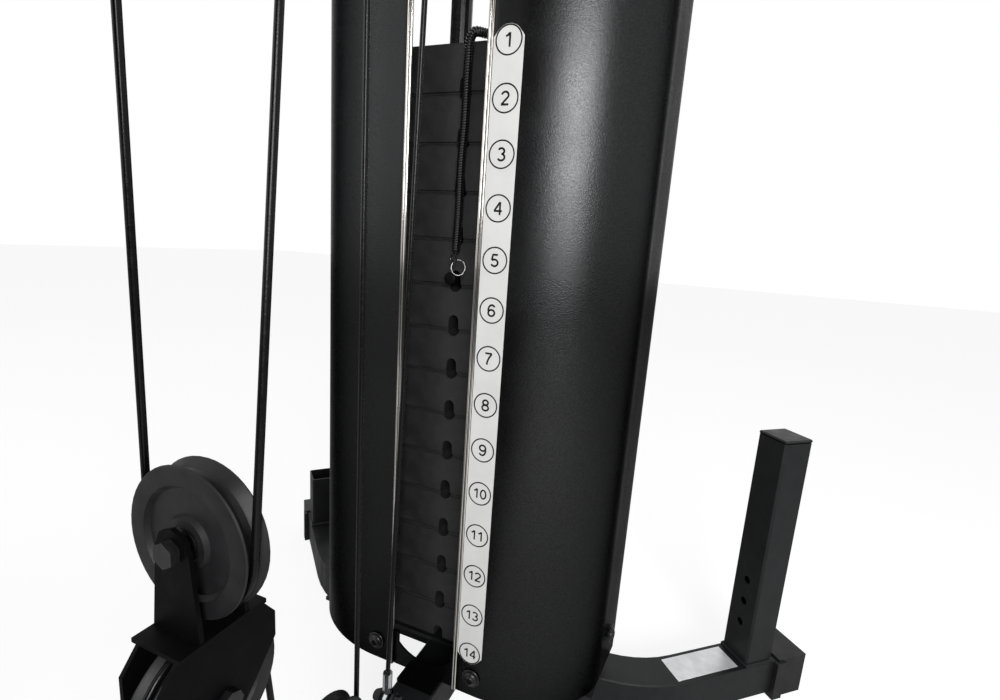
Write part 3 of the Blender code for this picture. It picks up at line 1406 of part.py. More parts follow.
def lat_bar():
    reach = LAT_BAR_END
    drop = LAT_BAR_DROP
    tip_x = LAT_BAR_HALF + reach * math.cos(drop)
    tip_z = LAT_BAR_Z - reach * math.sin(drop)
    path = [(-tip_x, LAT_Y, tip_z)]
    path += [(-LAT_BAR_HALF - 0.02, LAT_Y, LAT_BAR_Z - 0.0125), (-LAT_BAR_HALF + 0.02, LAT_Y, LAT_BAR_Z)]
    path += [(LAT_BAR_HALF - 0.02, LAT_Y, LAT_BAR_Z), (LAT_BAR_HALF + 0.02, LAT_Y, LAT_BAR_Z - 0.0125)]
    path += [(tip_x, LAT_Y, tip_z)]
    bar = curve_solid(path, LAT_BAR_RADIUS, 2)
    lobe = arc((0.0, LUG_HOLE_Z), LUG_HOLE * 1.8, 0.0, math.pi, 6)
    points = [(-0.014, LAT_BAR_Z), (0.014, LAT_BAR_Z), *lobe]
    fuse(bar, outline_solid(points, LUG_SHEET, upright(LAT_Y)))
    cut(bar, pipe_hole((0, LAT_Y, LUG_HOLE_Z), (0, 1, 0), LUG_HOLE, LUG_SHEET))
    name_part(bar, "lat_bar", "chrome", pivot=(0, LAT_Y, LAT_BAR_Z))
    lat_link()


def lat_link():
    """Ball stop, ferrule and oval link between the high cable and the lat bar."""
    steps = 6
    angles = [math.pi * i / steps for i in range(steps + 1)]
    dome = [(BALL_RADIUS * math.sin(angle), BALL_RADIUS * math.cos(angle)) for angle in angles]
    ball = turned(dome, (0, LAT_Y, LAT_BALL_Z), (0, 0, 1), 10)
    wire = LINK_WIRE
    centre = LUG_HOLE_Z + LINK_SEAT + LINK_HALF_LENGTH
    ring = oval_ring((0, LAT_Y, centre), LINK_HALF_WIDTH, LINK_HALF_LENGTH, wire)
    ferrule = rod((0, LAT_Y, centre + LINK_HALF_LENGTH - wire / 2), (0, LAT_Y, LAT_BALL_Z), 0.005, 10)
    name_part(weld(ferrule, ring, ball), "lat_hook", "chrome")


def oval_ring(centre, half_width, half_length, wire):
    """Closed ring of wire in the Y-Z plane, taller than wide."""
    data = bpy.data.curves.new("ring", "CURVE")
    data.dimensions = "3D"
    data.bevel_depth = wire
    data.bevel_resolution = 1
    spline = data.splines.new("POLY")
    spline.points.add(15)
    for i, point in enumerate(spline.points):
        angle = 2 * math.pi * i / 16
        y = centre[1] + half_width * math.cos(angle)
        point.co = (centre[0], y, centre[2] + half_length * math.sin(angle), 1.0)
    spline.use_cyclic_u = True
    return mesh_of_curve(data)


# Coiled tether


def tether():
    """Coiled cord from the stem's collar, over the top plate's edge, down to the pin."""
    lift = TETHER_COIL_RADIUS + TETHER_WIRE_RADIUS + GAP * 2
    top = STACK_TOP
    front = PLATE_FRONT_Y - lift
    start_x = 0.006
    collar = PLATE_Y - math.sqrt(COLLAR_RADIUS**2 - start_x**2) - GAP / 2
    guide = [
        (start_x, collar, top + lift + 0.002),
        (0.010, collar - 0.018, top + lift + 0.001),
        (0.008, PLATE_FRONT_Y + 0.008, top + lift + 0.003),
        (0.005, front - 0.001, top + 0.002),
        (0.003, front - 0.0015, top - 0.040),
        (0.002, front - 0.001, (top + PIN_Z) / 2),
        (0.002, front - 0.002, PIN_Z + 0.050),
        (0.002, front - 0.004, PIN_Z + 0.013),
    ]
    path = smooth_path(guide, 24)
    points = coil_points(path)
    print("tether: least gap between curls", round(least_gap(points) * 1000, 2), "mm")
    wire = curve_solid(points, TETHER_WIRE_RADIUS, 1)
    name_part(wire, "pin_tether", "cable_sheath")


def coil_points(path):
    """Helix along a path, straight for one wire diameter at both ends."""
    lengths = [0.0]
    for a, b in zip(path, path[1:]):
        lengths.append(lengths[-1] + (b - a).length)
    total = lengths[-1]
    count = TETHER_CURLS * TETHER_POINTS_PER_CURL
    wire = 2 * TETHER_WIRE_RADIUS
    start = path_at(path, lengths, 0.0)
    first = (path[1] - path[0]).normalized()
    points = [start]
    normal = Vector((1, 0, 0))
    for i in range(count + 1):
        distance = wire + (total - 2 * wire) * i / count
        centre = path_at(path, lengths, distance)
        ahead = path_at(path, lengths, min(total, distance + 0.001))
        behind = path_at(path, lengths, distance - 0.001)
        direction = (ahead - behind).normalized()
        normal = (normal - direction * normal.dot(direction)).normalized()
        side = direction.cross(normal)
        angle = 2 * math.pi * i / TETHER_POINTS_PER_CURL
        grow = min(1.0, i / 4, (count - i) / 4)
        radius = TETHER_COIL_RADIUS * grow
        points.append(centre + normal * radius * math.cos(angle) + side * radius * math.sin(angle))
    last = (path[-1] - path[-2]).normalized()
    points.append(path[-1] + last * wire * 0.2)
    points[0] = start - first * wire * 0.2
    return points


def path_at(path, lengths, distance):
    for i in range(len(path) - 1):
        if lengths[i + 1] >= distance:
            share = (distance - lengths[i]) / (lengths[i + 1] - lengths[i])
            return path[i].lerp(path[i + 1], share)
    return path[-1].copy()


def least_gap(points):
    """Least distance between points half a curl or more apart, less the wire's diameter."""
    skip = TETHER_POINTS_PER_CURL // 2
    best = min(
        (a - b).length
        for i, a in enumerate(points)
        for b in points[i + skip : i + 3 * TETHER_POINTS_PER_CURL]
    )
    return best - 2 * TETHER_WIRE_RADIUS


def build():
    clear_scene()
    rear_base()
    front_base()
    main_beam()
    foot_caps()
    centre_foot()
    side_posts()
    weight_stack()
    selector_stem()
    selector_pin()
    guide_rods()
    cover_side(-1, "cover_left")
    cover_side(1, "cover_right")
    cover_trims()
    lower_band()
    cover_bolts()
    number_scale()
    pulleys()
    floating_block()
    cables()
    cable_anchor()
    mast()
    top_beam()
    seat_beam()
    seat_pad()
    back_pad()
    leg_station()
    lever_pin()
    press_arms()
    press_axle()
    lat_bar()
    tether()


build()
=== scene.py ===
"""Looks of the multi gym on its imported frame: finishes, soft parts, cables, numbers, stage."""

import math
from collections import namedtuple

import bmesh
import bpy
from bpy.props import FloatProperty, FloatVectorProperty, IntProperty, PointerProperty
from mathutils import Matrix, Vector, noise
from mathutils.bvhtree import BVHTree
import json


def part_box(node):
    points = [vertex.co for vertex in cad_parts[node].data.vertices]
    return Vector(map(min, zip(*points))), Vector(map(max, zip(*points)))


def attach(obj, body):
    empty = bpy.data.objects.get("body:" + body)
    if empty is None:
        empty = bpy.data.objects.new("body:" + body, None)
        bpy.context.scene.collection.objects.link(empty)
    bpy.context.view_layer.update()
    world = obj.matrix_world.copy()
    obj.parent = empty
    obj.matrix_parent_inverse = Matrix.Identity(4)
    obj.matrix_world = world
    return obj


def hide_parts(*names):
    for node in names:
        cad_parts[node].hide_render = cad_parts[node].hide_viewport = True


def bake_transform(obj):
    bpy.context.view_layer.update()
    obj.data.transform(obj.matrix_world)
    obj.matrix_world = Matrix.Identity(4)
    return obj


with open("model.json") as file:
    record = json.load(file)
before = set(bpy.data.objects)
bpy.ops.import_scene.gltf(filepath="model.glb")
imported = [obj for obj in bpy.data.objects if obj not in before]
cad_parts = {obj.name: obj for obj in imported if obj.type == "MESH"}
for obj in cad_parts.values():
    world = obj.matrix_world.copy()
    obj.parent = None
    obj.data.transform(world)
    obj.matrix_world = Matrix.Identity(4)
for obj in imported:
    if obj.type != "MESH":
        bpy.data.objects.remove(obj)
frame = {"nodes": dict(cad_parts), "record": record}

bl_info = {
    "name": "Multi gym looks",
    "version": (1, 0, 0),
    "blender": (4, 5, 0),
    "location": "3D View > Sidebar > Multi gym",
    "description": "Dresses the packed multi gym with its finishes, soft parts, cables and stage",
    "category": "Object",
}

# Places that the solids give, in metres
COVER_LOW, COVER_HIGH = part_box("cover_right")
OPENING_EDGE = COVER_LOW.x
SCALE_LOW, SCALE_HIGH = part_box("number_scale")
LIFTED_LOW, LIFTED_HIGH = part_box("lifted_plates")
RESTING_LOW, RESTING_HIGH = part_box("resting_plates")
PIN_LOW, PIN_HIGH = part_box("selector_pin")
STEM_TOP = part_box("selector_stem")[1].z
SEAT_LOW, SEAT_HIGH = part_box("seat_pad")
BACK_LOW, BACK_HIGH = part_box("back_pad")
WHEEL_LOW, WHEEL_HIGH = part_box("pulley_lat")
LAT_LOW, LAT_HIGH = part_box("lat_bar")
LAT_Y = (LAT_LOW.y + LAT_HIGH.y) / 2
HOOK_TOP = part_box("lat_hook")[1].z
FERRULE_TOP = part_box("anchor_ferrule")[1].z
TOP_BEAM_LOW, TOP_BEAM_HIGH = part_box("top_beam")

# Sizes and places of the solids that no box gives, in metres
FLAT_HALF = 0.070
CORNER_X = 0.130
CORNER_Y = 0.100
SHEET_THICKNESS = 0.0015
PLATE_COUNT = 14
LIFTED_COUNT = 5
PLATE_PITCH = 0.050
PLATE_Y = (LIFTED_LOW.y + LIFTED_HIGH.y) / 2
STACK_BOTTOM = RESTING_LOW.z
STACK_TOP = STACK_BOTTOM + PLATE_COUNT * PLATE_PITCH
PIN_Z = STACK_BOTTOM + (PLATE_COUNT - LIFTED_COUNT) * PLATE_PITCH + 0.0085
ROD_X = 0.0465
ROD_BORE = 0.0134
STEM_BORE = 0.0104
PITCH_RADIUS = 0.0455
TOP_WHEEL_Z = 1.905
LOW_WHEEL_Z = 0.143
ANCHOR_Y = -0.0735
BLOCK_Y = -0.2835
BLOCK_UPPER_Z = 0.417
PRESS_WHEEL = (-0.560, 1.691)
LEG_LUG = (-1.000, 0.150)
BASE_FRONT_Y = 0.1203
BASE_STRAIGHT_HALF = 0.1766
BASE_BEND_RADIUS = 0.2022
BASE_BEND_ANGLE = math.radians(41.5)
BASE_TUBE_HALF = 0.025
BASE_TOP = 0.0575
POST_ALONG = 0.090
POST_SIDE = 0.045
# Corners of the lever's tube in plan, inside its walls
LEVER_LOW = (-0.0196, -1.0556)
LEVER_HIGH = (0.0196, -1.0164)

# Sizes of the details that the looks add, in metres
PLATE_GAP = 0.0004
CABLE_RADIUS = 0.0025
SCALE_HALF = 0.0153
RING_LINE = 0.00145
RING_GAP = 0.0003
PRINT_LIFT = 0.00004
BOARD_INSET = 0.022
BOARD_THICKNESS = 0.010
FOAM_ROUNDING = 0.009
GRIP_BORE = 0.0126
BOLT_HEAD = 0.0062

TURN = 2 * math.pi
TINY = 1e-6
SHARP_ANGLE = math.radians(38)
UP = (0, 0, 1)
ORIGIN = (0, 0, 0)
SIDES = ((-1, "left"), (1, "right"))

# Wheel: body, X plane, Y, Z and the way that the cable turns round it
WHEELS = {
    "stack_rear": ("wheel_stack_rear", 0.0, 0.0659, TOP_WHEEL_Z, 1),
    "stack_front": ("wheel_stack_front", 0.0, -0.0815, TOP_WHEEL_Z, 1),
    "tower_high": ("wheel_tower_high", 0.040, -0.1112, TOP_WHEEL_Z, 1),
    "block_lower": ("wheel_block_lower", 0.0, BLOCK_Y, 0.307, 1),
    "low_rear": ("wheel_low_rear", 0.0, -0.1725, LOW_WHEEL_Z, -1),
    "low_mast": ("wheel_low_mast", 0.0, -0.345, LOW_WHEEL_Z, -1),
    "low_front": ("wheel_low_front", 0.0, -0.895, LOW_WHEEL_Z, -1),
    "mast": ("wheel_mast", 0.0, -0.350, 1.600, 1),
    "press": ("wheel_press", 0.0, *PRESS_WHEEL, -1),
    "beam": ("wheel_beam", 0.0, -0.651, TOP_WHEEL_Z, 1),
    "lat": ("wheel_lat", 0.0, -0.980, TOP_WHEEL_Z, 1),
    "block_upper": ("wheel_block_upper", 0.0, BLOCK_Y, BLOCK_UPPER_Z, 0),
}

FINISH_OF = {
    "black_paint": "powder_coat",
    "cover_paint": "cover_satin",
    "plate_shell": "plate_grain",
    "chrome": "bright_chrome",
    "black_steel": "black_oxide",
    "nylon": "moulded_nylon",
    "cable_sheath": "cable_gloss",
    "rubber": "matt_rubber",
    "scale_sheet": "scale_silver",
    "upholstery": "grained_leather",
    "foam": "closed_foam",
}

# Solids whose finish differs from the others of their slot: chrome with painted reflection streaks
# on the trims, and on the floating block a darker copy of the frame paint that paints in its shade
COAT_OF = {
    "trim_left": "chrome_painted_reflections",
    "trim_right": "chrome_painted_reflections",
    "floating_block": "painted_shade_block_paint",
}


# Settings that a user would change


class GymFinishSettings(bpy.types.PropertyGroup):
    """Colours and gloss of the main finishes."""

    frame_color: FloatVectorProperty(
        name="Frame colour",
        description="Powder coat of the frame tubes",
        subtype="COLOR",
        size=3,
        default=(0.0085, 0.0090, 0.0098),
    )
    cover_color: FloatVectorProperty(
        name="Cover colour",
        description="Satin paint with metal flakes on the sheet cover",
        subtype="COLOR",
        size=3,
        default=(0.0300, 0.0305, 0.0312),
    )
    cover_roughness: FloatProperty(
        name="Cover roughness",
        description="How widely the cover's paint spreads a highlight",
        default=0.26,
        min=0.0,
        max=1.0,
    )
    plate_color: FloatVectorProperty(
        name="Plate colour",
        description="Shell of the weight plates",
        subtype="COLOR",
        size=3,
        default=(0.0110, 0.0110, 0.0112),
    )
    scale_color: FloatVectorProperty(
        name="Scale colour",
        description="Sheet that carries the plate numbers",
        subtype="COLOR",
        size=3,
        default=(0.66, 0.66, 0.65),
    )


class GymSoftSettings(bpy.types.PropertyGroup):
    """Sizes of the padded parts."""

    swell: FloatProperty(
        name="Swell limit",
        description="Farthest that a point of a pad moves when it is filled",
        unit="LENGTH",
        default=0.011,
        min=0.0,
    )
    pressure: FloatProperty(
        name="Fill pressure",
        description="Pressure of the stuffing while a pad is filled",
        default=4.0,
        min=0.0,
    )
    voxel: FloatProperty(
        name="Cloth grid",
        description="Spacing of the points of a pad's cloth",
        unit="LENGTH",
        default=0.006,
        min=0.002,
    )


class GymDetailSettings(bpy.types.PropertyGroup):
    """Sizes of the small parts."""

    number_size: FloatProperty(
        name="Number size",
        description="Height of the plate numbers",
        unit="LENGTH",
        default=0.0124,
    )
    ring_radius: FloatProperty(
        name="Ring radius",
        description="Outer radius of the ring round each number",
        unit="LENGTH",
        default=0.0135,
    )
    tether_radius: FloatProperty(
        name="Tether radius",
        description="Outer radius of the coiled tether",
        unit="LENGTH",
        default=0.0050,
    )
    tether_wire: FloatProperty(
        name="Tether cord radius",
        description="Radius of the cord that the tether is wound from",
        unit="LENGTH",
        default=0.0012,
    )
    wheel_sides: IntProperty(
        name="Wheel sides",
        description="Sides of a turned wheel",
        default=48,
        min=12,
    )


class GymStageSettings(bpy.types.PropertyGroup):
    """Light, floor and camera."""

    key_power: FloatProperty(
        name="Key light",
        description="Power of the soft box behind and above the camera",
        unit="POWER",
        default=42.0,
    )
    fill_power: FloatProperty(
        name="Fill light",
        description="Power of the soft box to the left",
        unit="POWER",
        default=6.0,
    )
    ambient: FloatProperty(
        name="Ambient light",
        description="Strength of the surrounding light on matt surfaces",
        default=0.25,
        min=0.0,
    )
    floor_color: FloatVectorProperty(
        name="Floor colour",
        description="Pale floor",
        subtype="COLOR",
        size=3,
        default=(0.86, 0.86, 0.86),
    )
    lens: FloatProperty(
        name="Lens",
        description="Focal length for a 36 mm wide picture",
        default=18.88,
    )


# Materials


def new_finish(name, color, roughness, metallic=0.0, specular=0.5):
    """A Principled material with its plain values set on the shader."""
    material = bpy.data.materials.new(name)
    material.use_nodes = True
    shader = material.node_tree.nodes["Principled BSDF"]
    shader.inputs["Base Color"].default_value = (*color, 1.0)
    shader.inputs["Roughness"].default_value = roughness
    shader.inputs["Metallic"].default_value = metallic
    shader.inputs["Specular IOR Level"].default_value = specular
    material.diffuse_color = (*color, 1.0)
    return material


def surface_noise(material, scale, detail=3.0, stretch=(1.0, 1.0, 1.0)):
    """Noise on the object's own coordinates, scale in features per metre."""
    nodes = material.node_tree.nodes
    links = material.node_tree.links
    coords = nodes.new("ShaderNodeTexCoord")
    mapping = nodes.new("ShaderNodeMapping")
    mapping.inputs["Scale"].default_value = stretch
    texture = nodes.new("ShaderNodeTexNoise")
    texture.inputs["Scale"].default_value = scale
    texture.inputs["Detail"].default_value = detail
    links.new(coords.outputs["Object"], mapping.inputs["Vector"])
    links.new(mapping.outputs["Vector"], texture.inputs["Vector"])
    return texture.outputs["Fac"]


def surface_cells(material, scale, feature="F1"):
    """Cell pattern on the object's own coordinates, scale in cells per metre."""
    nodes = material.node_tree.nodes
    links = material.node_tree.links
    coords = nodes.new("ShaderNodeTexCoord")
    texture = nodes.new("ShaderNodeTexVoronoi")
    texture.feature = feature
    texture.inputs["Scale"].default_value = scale
    links.new(coords.outputs["Object"], texture.inputs["Vector"])
    return texture.outputs["Distance"]


def vary_color(material, factor, dark, light):
    """Base colour between two tones, mixed by a pattern."""
    nodes = material.node_tree.nodes
    links = material.node_tree.links
    ramp = nodes.new("ShaderNodeValToRGB")
    ramp.color_ramp.elements[0].position = 0.35
    ramp.color_ramp.elements[0].color = (*dark, 1.0)
    ramp.color_ramp.elements[1].position = 0.65
    ramp.color_ramp.elements[1].color = (*light, 1.0)
    links.new(factor, ramp.inputs["Fac"])
    links.new(ramp.outputs["Color"], nodes["Principled BSDF"].inputs["Base Color"])


def vary_roughness(material, factor, smooth, rough):
    """Roughness between two values, by a pattern."""
    nodes = material.node_tree.nodes
    links = material.node_tree.links
    spread = nodes.new("ShaderNodeMapRange")
    spread.inputs["From Min"].default_value = 0.3
    spread.inputs["From Max"].default_value = 0.7
    spread.inputs["To Min"].default_value = smooth
    spread.inputs["To Max"].default_value = rough
    links.new(factor, spread.inputs["Value"])
    links.new(spread.outputs["Result"], nodes["Principled BSDF"].inputs["Roughness"])


def raise_grain(material, factor, strength, height):
    """Bump from a pattern, on top of any bump that is there."""
    nodes = material.node_tree.nodes
    links = material.node_tree.links
    bump = nodes.new("ShaderNodeBump")
    bump.inputs["Strength"].default_value = strength
    bump.inputs["Distance"].default_value = height
    normal = nodes["Principled BSDF"].inputs["Normal"]
    if normal.is_linked:
        links.new(normal.links[0].from_socket, bump.inputs["Normal"])
    links.new(factor, bump.inputs["Height"])
    links.new(bump.outputs["Normal"], normal)


def tones(color, spread):
    """A darker and a lighter tone of a colour."""
    return [[value * (1 + change) for value in color] for change in (-spread, spread)]


def make_finishes(settings):
    """Every material of the object, by name."""
    paint = new_finish("powder_coat", settings.frame_color, 0.42, specular=0.24)
    vary_color(paint, surface_noise(paint, 60.0), *tones(settings.frame_color, 0.15))
    vary_roughness(paint, surface_noise(paint, 35.0), 0.36, 0.50)
    raise_grain(paint, surface_noise(paint, 1300.0, 2.0), 0.10, 0.0004)

    rough = settings.cover_roughness
    cover = new_finish("cover_satin", settings.cover_color, rough, 1.0)
    shader = cover.node_tree.nodes["Principled BSDF"]
    shader.inputs["Specular Tint"].default_value = (0.36, 0.36, 0.36, 1.0)
    vary_color(cover, surface_noise(cover, 850.0, 1.0), *tones(settings.cover_color, 0.22))
    vary_roughness(cover, surface_noise(cover, 18.0), rough - 0.02, rough + 0.04)
    raise_grain(cover, surface_noise(cover, 800.0, 2.0), 0.45, 0.0004)

    plate = new_finish("plate_grain", settings.plate_color, 0.58, specular=0.34)
    vary_color(plate, surface_noise(plate, 40.0, 5.0), *tones(settings.plate_color, 0.35))
    vary_roughness(plate, surface_noise(plate, 30.0, 4.0), 0.50, 0.72)
    raise_grain(plate, surface_cells(plate, 1100.0), 0.30, 0.0006)
    raise_grain(plate, surface_noise(plate, 420.0, 4.0), 0.12, 0.0010)

    chrome = new_finish("bright_chrome", (0.66, 0.67, 0.69), 0.07, 1.0)
    vary_roughness(chrome, surface_noise(chrome, 50.0), 0.04, 0.12)
    raise_grain(chrome, surface_noise(chrome, 60.0, 1.0, (1.0, 1.0, 0.05)), 0.05, 0.0015)

    # Chrome whose colour runs in dark and light vertical streaks: painted reflections on the trims
    reflection_chrome = new_finish("chrome_painted_reflections", (0.80, 0.80, 0.80), 0.10, 1.0)
    lines = surface_noise(reflection_chrome, 700.0, 2.0, (1.0, 1.0, 0.004))
    vary_color(reflection_chrome, lines, (0.10, 0.095, 0.09), (0.88, 0.85, 0.80))
    raise_grain(reflection_chrome, surface_noise(reflection_chrome, 60.0, 1.0, (1.0, 1.0, 0.05)), 0.05, 0.0015)

    oxide = new_finish("black_oxide", (0.008, 0.008, 0.009), 0.28, specular=0.30)
    vary_color(oxide, surface_noise(oxide, 90.0), (0.007, 0.007, 0.008), (0.014, 0.014, 0.015))
    vary_roughness(oxide, surface_noise(oxide, 120.0, 4.0), 0.20, 0.34)
    raise_grain(oxide, surface_noise(oxide, 500.0, 2.0, (1.0, 1.0, 0.1)), 0.04, 0.0005)

    nylon = new_finish("moulded_nylon", (0.009, 0.009, 0.0098), 0.44, specular=0.24)
    dark, light = (0.0080, 0.0080, 0.0088), (0.0125, 0.0125, 0.0135)
    vary_color(nylon, surface_noise(nylon, 80.0), dark, light)
    vary_roughness(nylon, surface_noise(nylon, 60.0), 0.38, 0.52)
    raise_grain(nylon, surface_noise(nylon, 700.0), 0.06, 0.0005)

    sheath = new_finish("cable_gloss", (0.0032, 0.0032, 0.0036), 0.24, specular=0.16)
    vary_roughness(sheath, surface_noise(sheath, 220.0), 0.16, 0.32)
    raise_grain(sheath, surface_noise(sheath, 260.0, 2.0, (1.0, 1.0, 2.0)), 0.10, 0.0008)

    cord = new_finish("cord_gloss", (0.0045, 0.0045, 0.0050), 0.16, specular=0.62)
    vary_roughness(cord, surface_noise(cord, 400.0), 0.10, 0.22)

    # Darker, duller copy of the frame's powder coat: painted shade on the floating block, also used
    # on the pin's knob
    block = new_finish("painted_shade_block_paint", (0.0018, 0.0018, 0.0021), 0.50, specular=0.06)
    vary_roughness(block, surface_noise(block, 90.0), 0.44, 0.58)
    raise_grain(block, surface_noise(block, 1300.0, 2.0), 0.10, 0.0004)

    nickel = new_finish("dark_nickel", (0.20, 0.195, 0.19), 0.24, 1.0)
    vary_roughness(nickel, surface_noise(nickel, 300.0), 0.16, 0.34)

    rubber = new_finish("matt_rubber", (0.014, 0.014, 0.014), 0.80, specular=0.25)
    vary_color(rubber, surface_noise(rubber, 70.0), (0.011, 0.011, 0.011), (0.019, 0.019, 0.018))
    raise_grain(rubber, surface_noise(rubber, 900.0), 0.20, 0.0006)

    scale = new_finish("scale_silver", settings.scale_color, 0.45, 0.15)
    vary_color(scale, surface_noise(scale, 30.0, 2.0), *tones(settings.scale_color, 0.03))
    vary_roughness(scale, surface_noise(scale, 900.0, 2.0, (0.1, 1.0, 1.0)), 0.40, 0.55)

    ink = new_finish("number_ink", (0.004, 0.004, 0.0045), 0.50, specular=0.2)
    vary_roughness(ink, surface_noise(ink, 500.0), 0.44, 0.58)

    leather = new_finish("grained_leather", (0.012, 0.012, 0.013), 0.50, specular=0.38)
    dark, light = (0.009, 0.009, 0.010), (0.017, 0.017, 0.018)
    vary_color(leather, surface_noise(leather, 25.0, 5.0), dark, light)
    vary_roughness(leather, surface_noise(leather, 45.0, 4.0), 0.42, 0.60)
    raise_grain(leather, surface_cells(leather, 650.0, "SMOOTH_F1"), 0.35, 0.0008)
    foam = new_finish("closed_foam", (0.014, 0.014, 0.0145), 0.88, specular=0.2)
    vary_color(foam, surface_noise(foam, 50.0, 5.0), (0.011, 0.011, 0.0115), (0.019, 0.019, 0.019))
    raise_grain(foam, surface_cells(foam, 900.0), 0.50, 0.0010)

    bright = new_finish("bare_label", (0.72, 0.73, 0.74), 0.34, 0.35)
    vary_color(bright, surface_noise(bright, 60.0), (0.76, 0.77, 0.78), (0.90, 0.91, 0.92))
    vary_roughness(bright, surface_noise(bright, 200.0), 0.28, 0.42)


def finish(name):
    """A material that make_finishes has made."""
    return bpy.data.materials[name]


# Mesh helpers


def add_piece(name, mesh, material, smooth=True):
    """New object of the model with one finish."""
    piece = bpy.data.objects.new(name, mesh)
    bpy.context.scene.collection.objects.link(piece)
    mesh.materials.clear()
    mesh.materials.append(finish(material))
    if smooth:
        mesh.shade_smooth()
        mesh.set_sharp_from_angle(angle=SHARP_ANGLE)
    return piece


def carried(name, mesh, material, body, node=None):
    """New object that rides on a body, and stands for one of the solids where a node is given."""
    piece = add_piece(name, mesh, material)
    if node:
        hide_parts(node)
    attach(piece, body)
    return piece


def mesh_from(shape, name):
    """Mesh of a finished shape, with its faces turned outward."""
    bmesh.ops.recalc_face_normals(shape, faces=shape.faces)
    mesh = bpy.data.meshes.new(name)
    shape.to_mesh(mesh)
    shape.free()
    return mesh


def apply_modifiers(piece):
    """Bake the piece's modifiers into its mesh."""
    bpy.context.view_layer.update()
    graph = bpy.context.evaluated_depsgraph_get()
    mesh = bpy.data.meshes.new_from_object(piece.evaluated_get(graph))
    piece.modifiers.clear()
    piece.data = mesh
    return piece


def mirrored(profile):
    """The points below the middle plane of a turned profile, from its last point back."""
    return [(radius, -height) for radius, height in reversed(profile)]


def lathe(name, profile, centre, axis, sides=32):
    """Mesh turned about an axis: profile is (radius, height) points."""
    shape = bmesh.new()
    verts = [shape.verts.new((radius, 0.0, height)) for radius, height in profile]
    edges = [shape.edges.new(pair) for pair in zip(verts, verts[1:])]
    if profile[0][0] > TINY and profile[-1][0] > TINY:
        edges.append(shape.edges.new((verts[-1], verts[0])))
    bmesh.ops.spin(shape, geom=verts + edges, cent=ORIGIN, axis=UP, angle=TURN, steps=sides)
    bmesh.ops.remove_doubles(shape, verts=shape.verts, dist=TINY)
    turn = Vector(axis).to_track_quat("Z", "Y").to_matrix().to_4x4()
    matrix = Matrix.Translation(centre) @ turn
    bmesh.ops.transform(shape, matrix=matrix, verts=shape.verts)
    return mesh_from(shape, name)


def tube_along(name, points, radius, sides=10, cyclic=False):
    """Round tube along points, with capped ends and a frame that doesn't twist."""
    shape = bmesh.new()
    path = [Vector(point) for point in points]
    count = len(path)
    normal = None
    rings = []
    for i, point in enumerate(path):
        before = path[i - 1] if i or cyclic else path[0]
        after = path[(i + 1) % count] if i < count - 1 or cyclic else path[-1]
        direction = (after - before).normalized()
        if normal is None:
            normal = direction.orthogonal().normalized()
        normal = (normal - direction * normal.dot(direction)).normalized()
        side = direction.cross(normal)
        ring = []
        for j in range(sides):
            angle = TURN * j / sides
            offset = normal * math.cos(angle) + side * math.sin(angle)
            ring.append(shape.verts.new(point + offset * radius))
        rings.append(ring)
    pairs = list(zip(rings, rings[1:]))
    if cyclic:
        pairs.append((rings[-1], rings[0]))
    for first, second in pairs:
        for j in range(sides):
            k = (j + 1) % sides
            shape.faces.new((first[j], first[k], second[k], second[j]))
    if not cyclic:
        shape.faces.new(reversed(rings[0]))
        shape.faces.new(rings[-1])
    return mesh_from(shape, name)


def rounded_box(name, low, high, bevel, segments=3):
    """Box between two corners with rounded edges."""
    shape = bmesh.new()
    bmesh.ops.create_cube(shape, size=1.0)
    low, high = Vector(low), Vector(high)
    bmesh.ops.scale(shape, vec=high - low, verts=shape.verts)
    bmesh.ops.translate(shape, vec=(low + high) / 2, verts=shape.verts)
    bmesh.ops.bevel(shape, geom=shape.edges[:], offset=bevel, segments=segments, affect="EDGES")
    return mesh_from(shape, name)


def prism(name, outline, low, high, matrix):
    """Solid with a flat outline in its own X-Y plane, from one height to another."""
    shape = bmesh.new()
    bottom = [shape.verts.new((x, y, low)) for x, y in outline]
    top = [shape.verts.new((x, y, high)) for x, y in outline]
    shape.faces.new(reversed(bottom))
    shape.faces.new(top)
    for i in range(len(outline)):
        j = (i + 1) % len(outline)
        shape.faces.new((bottom[i], bottom[j], top[j], top[i]))
    bmesh.ops.transform(shape, matrix=matrix, verts=shape.verts)
    return mesh_from(shape, name)


def arc(centre, radius, start, end, steps):
    """Points of a circle between two angles in radians, as a list."""
    angles = [start + (end - start) * i / steps for i in range(steps + 1)]
    return [(centre[0] + radius * math.cos(a), centre[1] + radius * math.sin(a)) for a in angles]


def hexagon(radius):
    """Corners of a hexagon round the middle."""
    return arc((0, 0), radius, 0, TURN, 6)[:-1]


def ribbon(strokes, width, matrix):
    """Flat bands along lines in the X-Y plane, moved by a matrix."""
    shape = bmesh.new()
    for stroke in strokes:
        points = [Vector(point) for point in stroke]
        closed = (points[0] - points[-1]).length < TINY
        sides = []
        for i, point in enumerate(points):
            before = points[i - 1] if i else (points[-2] if closed else points[0])
            after = points[i + 1] if i < len(points) - 1 else (points[1] if closed else points[-1])
            along = (after - before).normalized()
            across = Vector((-along.y, along.x)) * width / 2
            sides.append([shape.verts.new((*(point + across * side), 0.0)) for side in (-1, 1)])
        for (a, b), (c, d) in zip(sides, sides[1:]):
            shape.faces.new((a, c, d, b))
    bmesh.ops.transform(shape, matrix=matrix, verts=shape.verts)
    return mesh_from(shape, "ribbon")


def oval(centre_x, centre_y, radius_x, radius_y, start, end):
    """Points of an ellipse between two angles in degrees, as a list."""
    steps = max(4, math.ceil(abs(end - start) / 12))
    angles = [math.radians(start + (end - start) * i / steps) for i in range(steps + 1)]
    return [(centre_x + radius_x * math.cos(a), centre_y + radius_y * math.sin(a)) for a in angles]


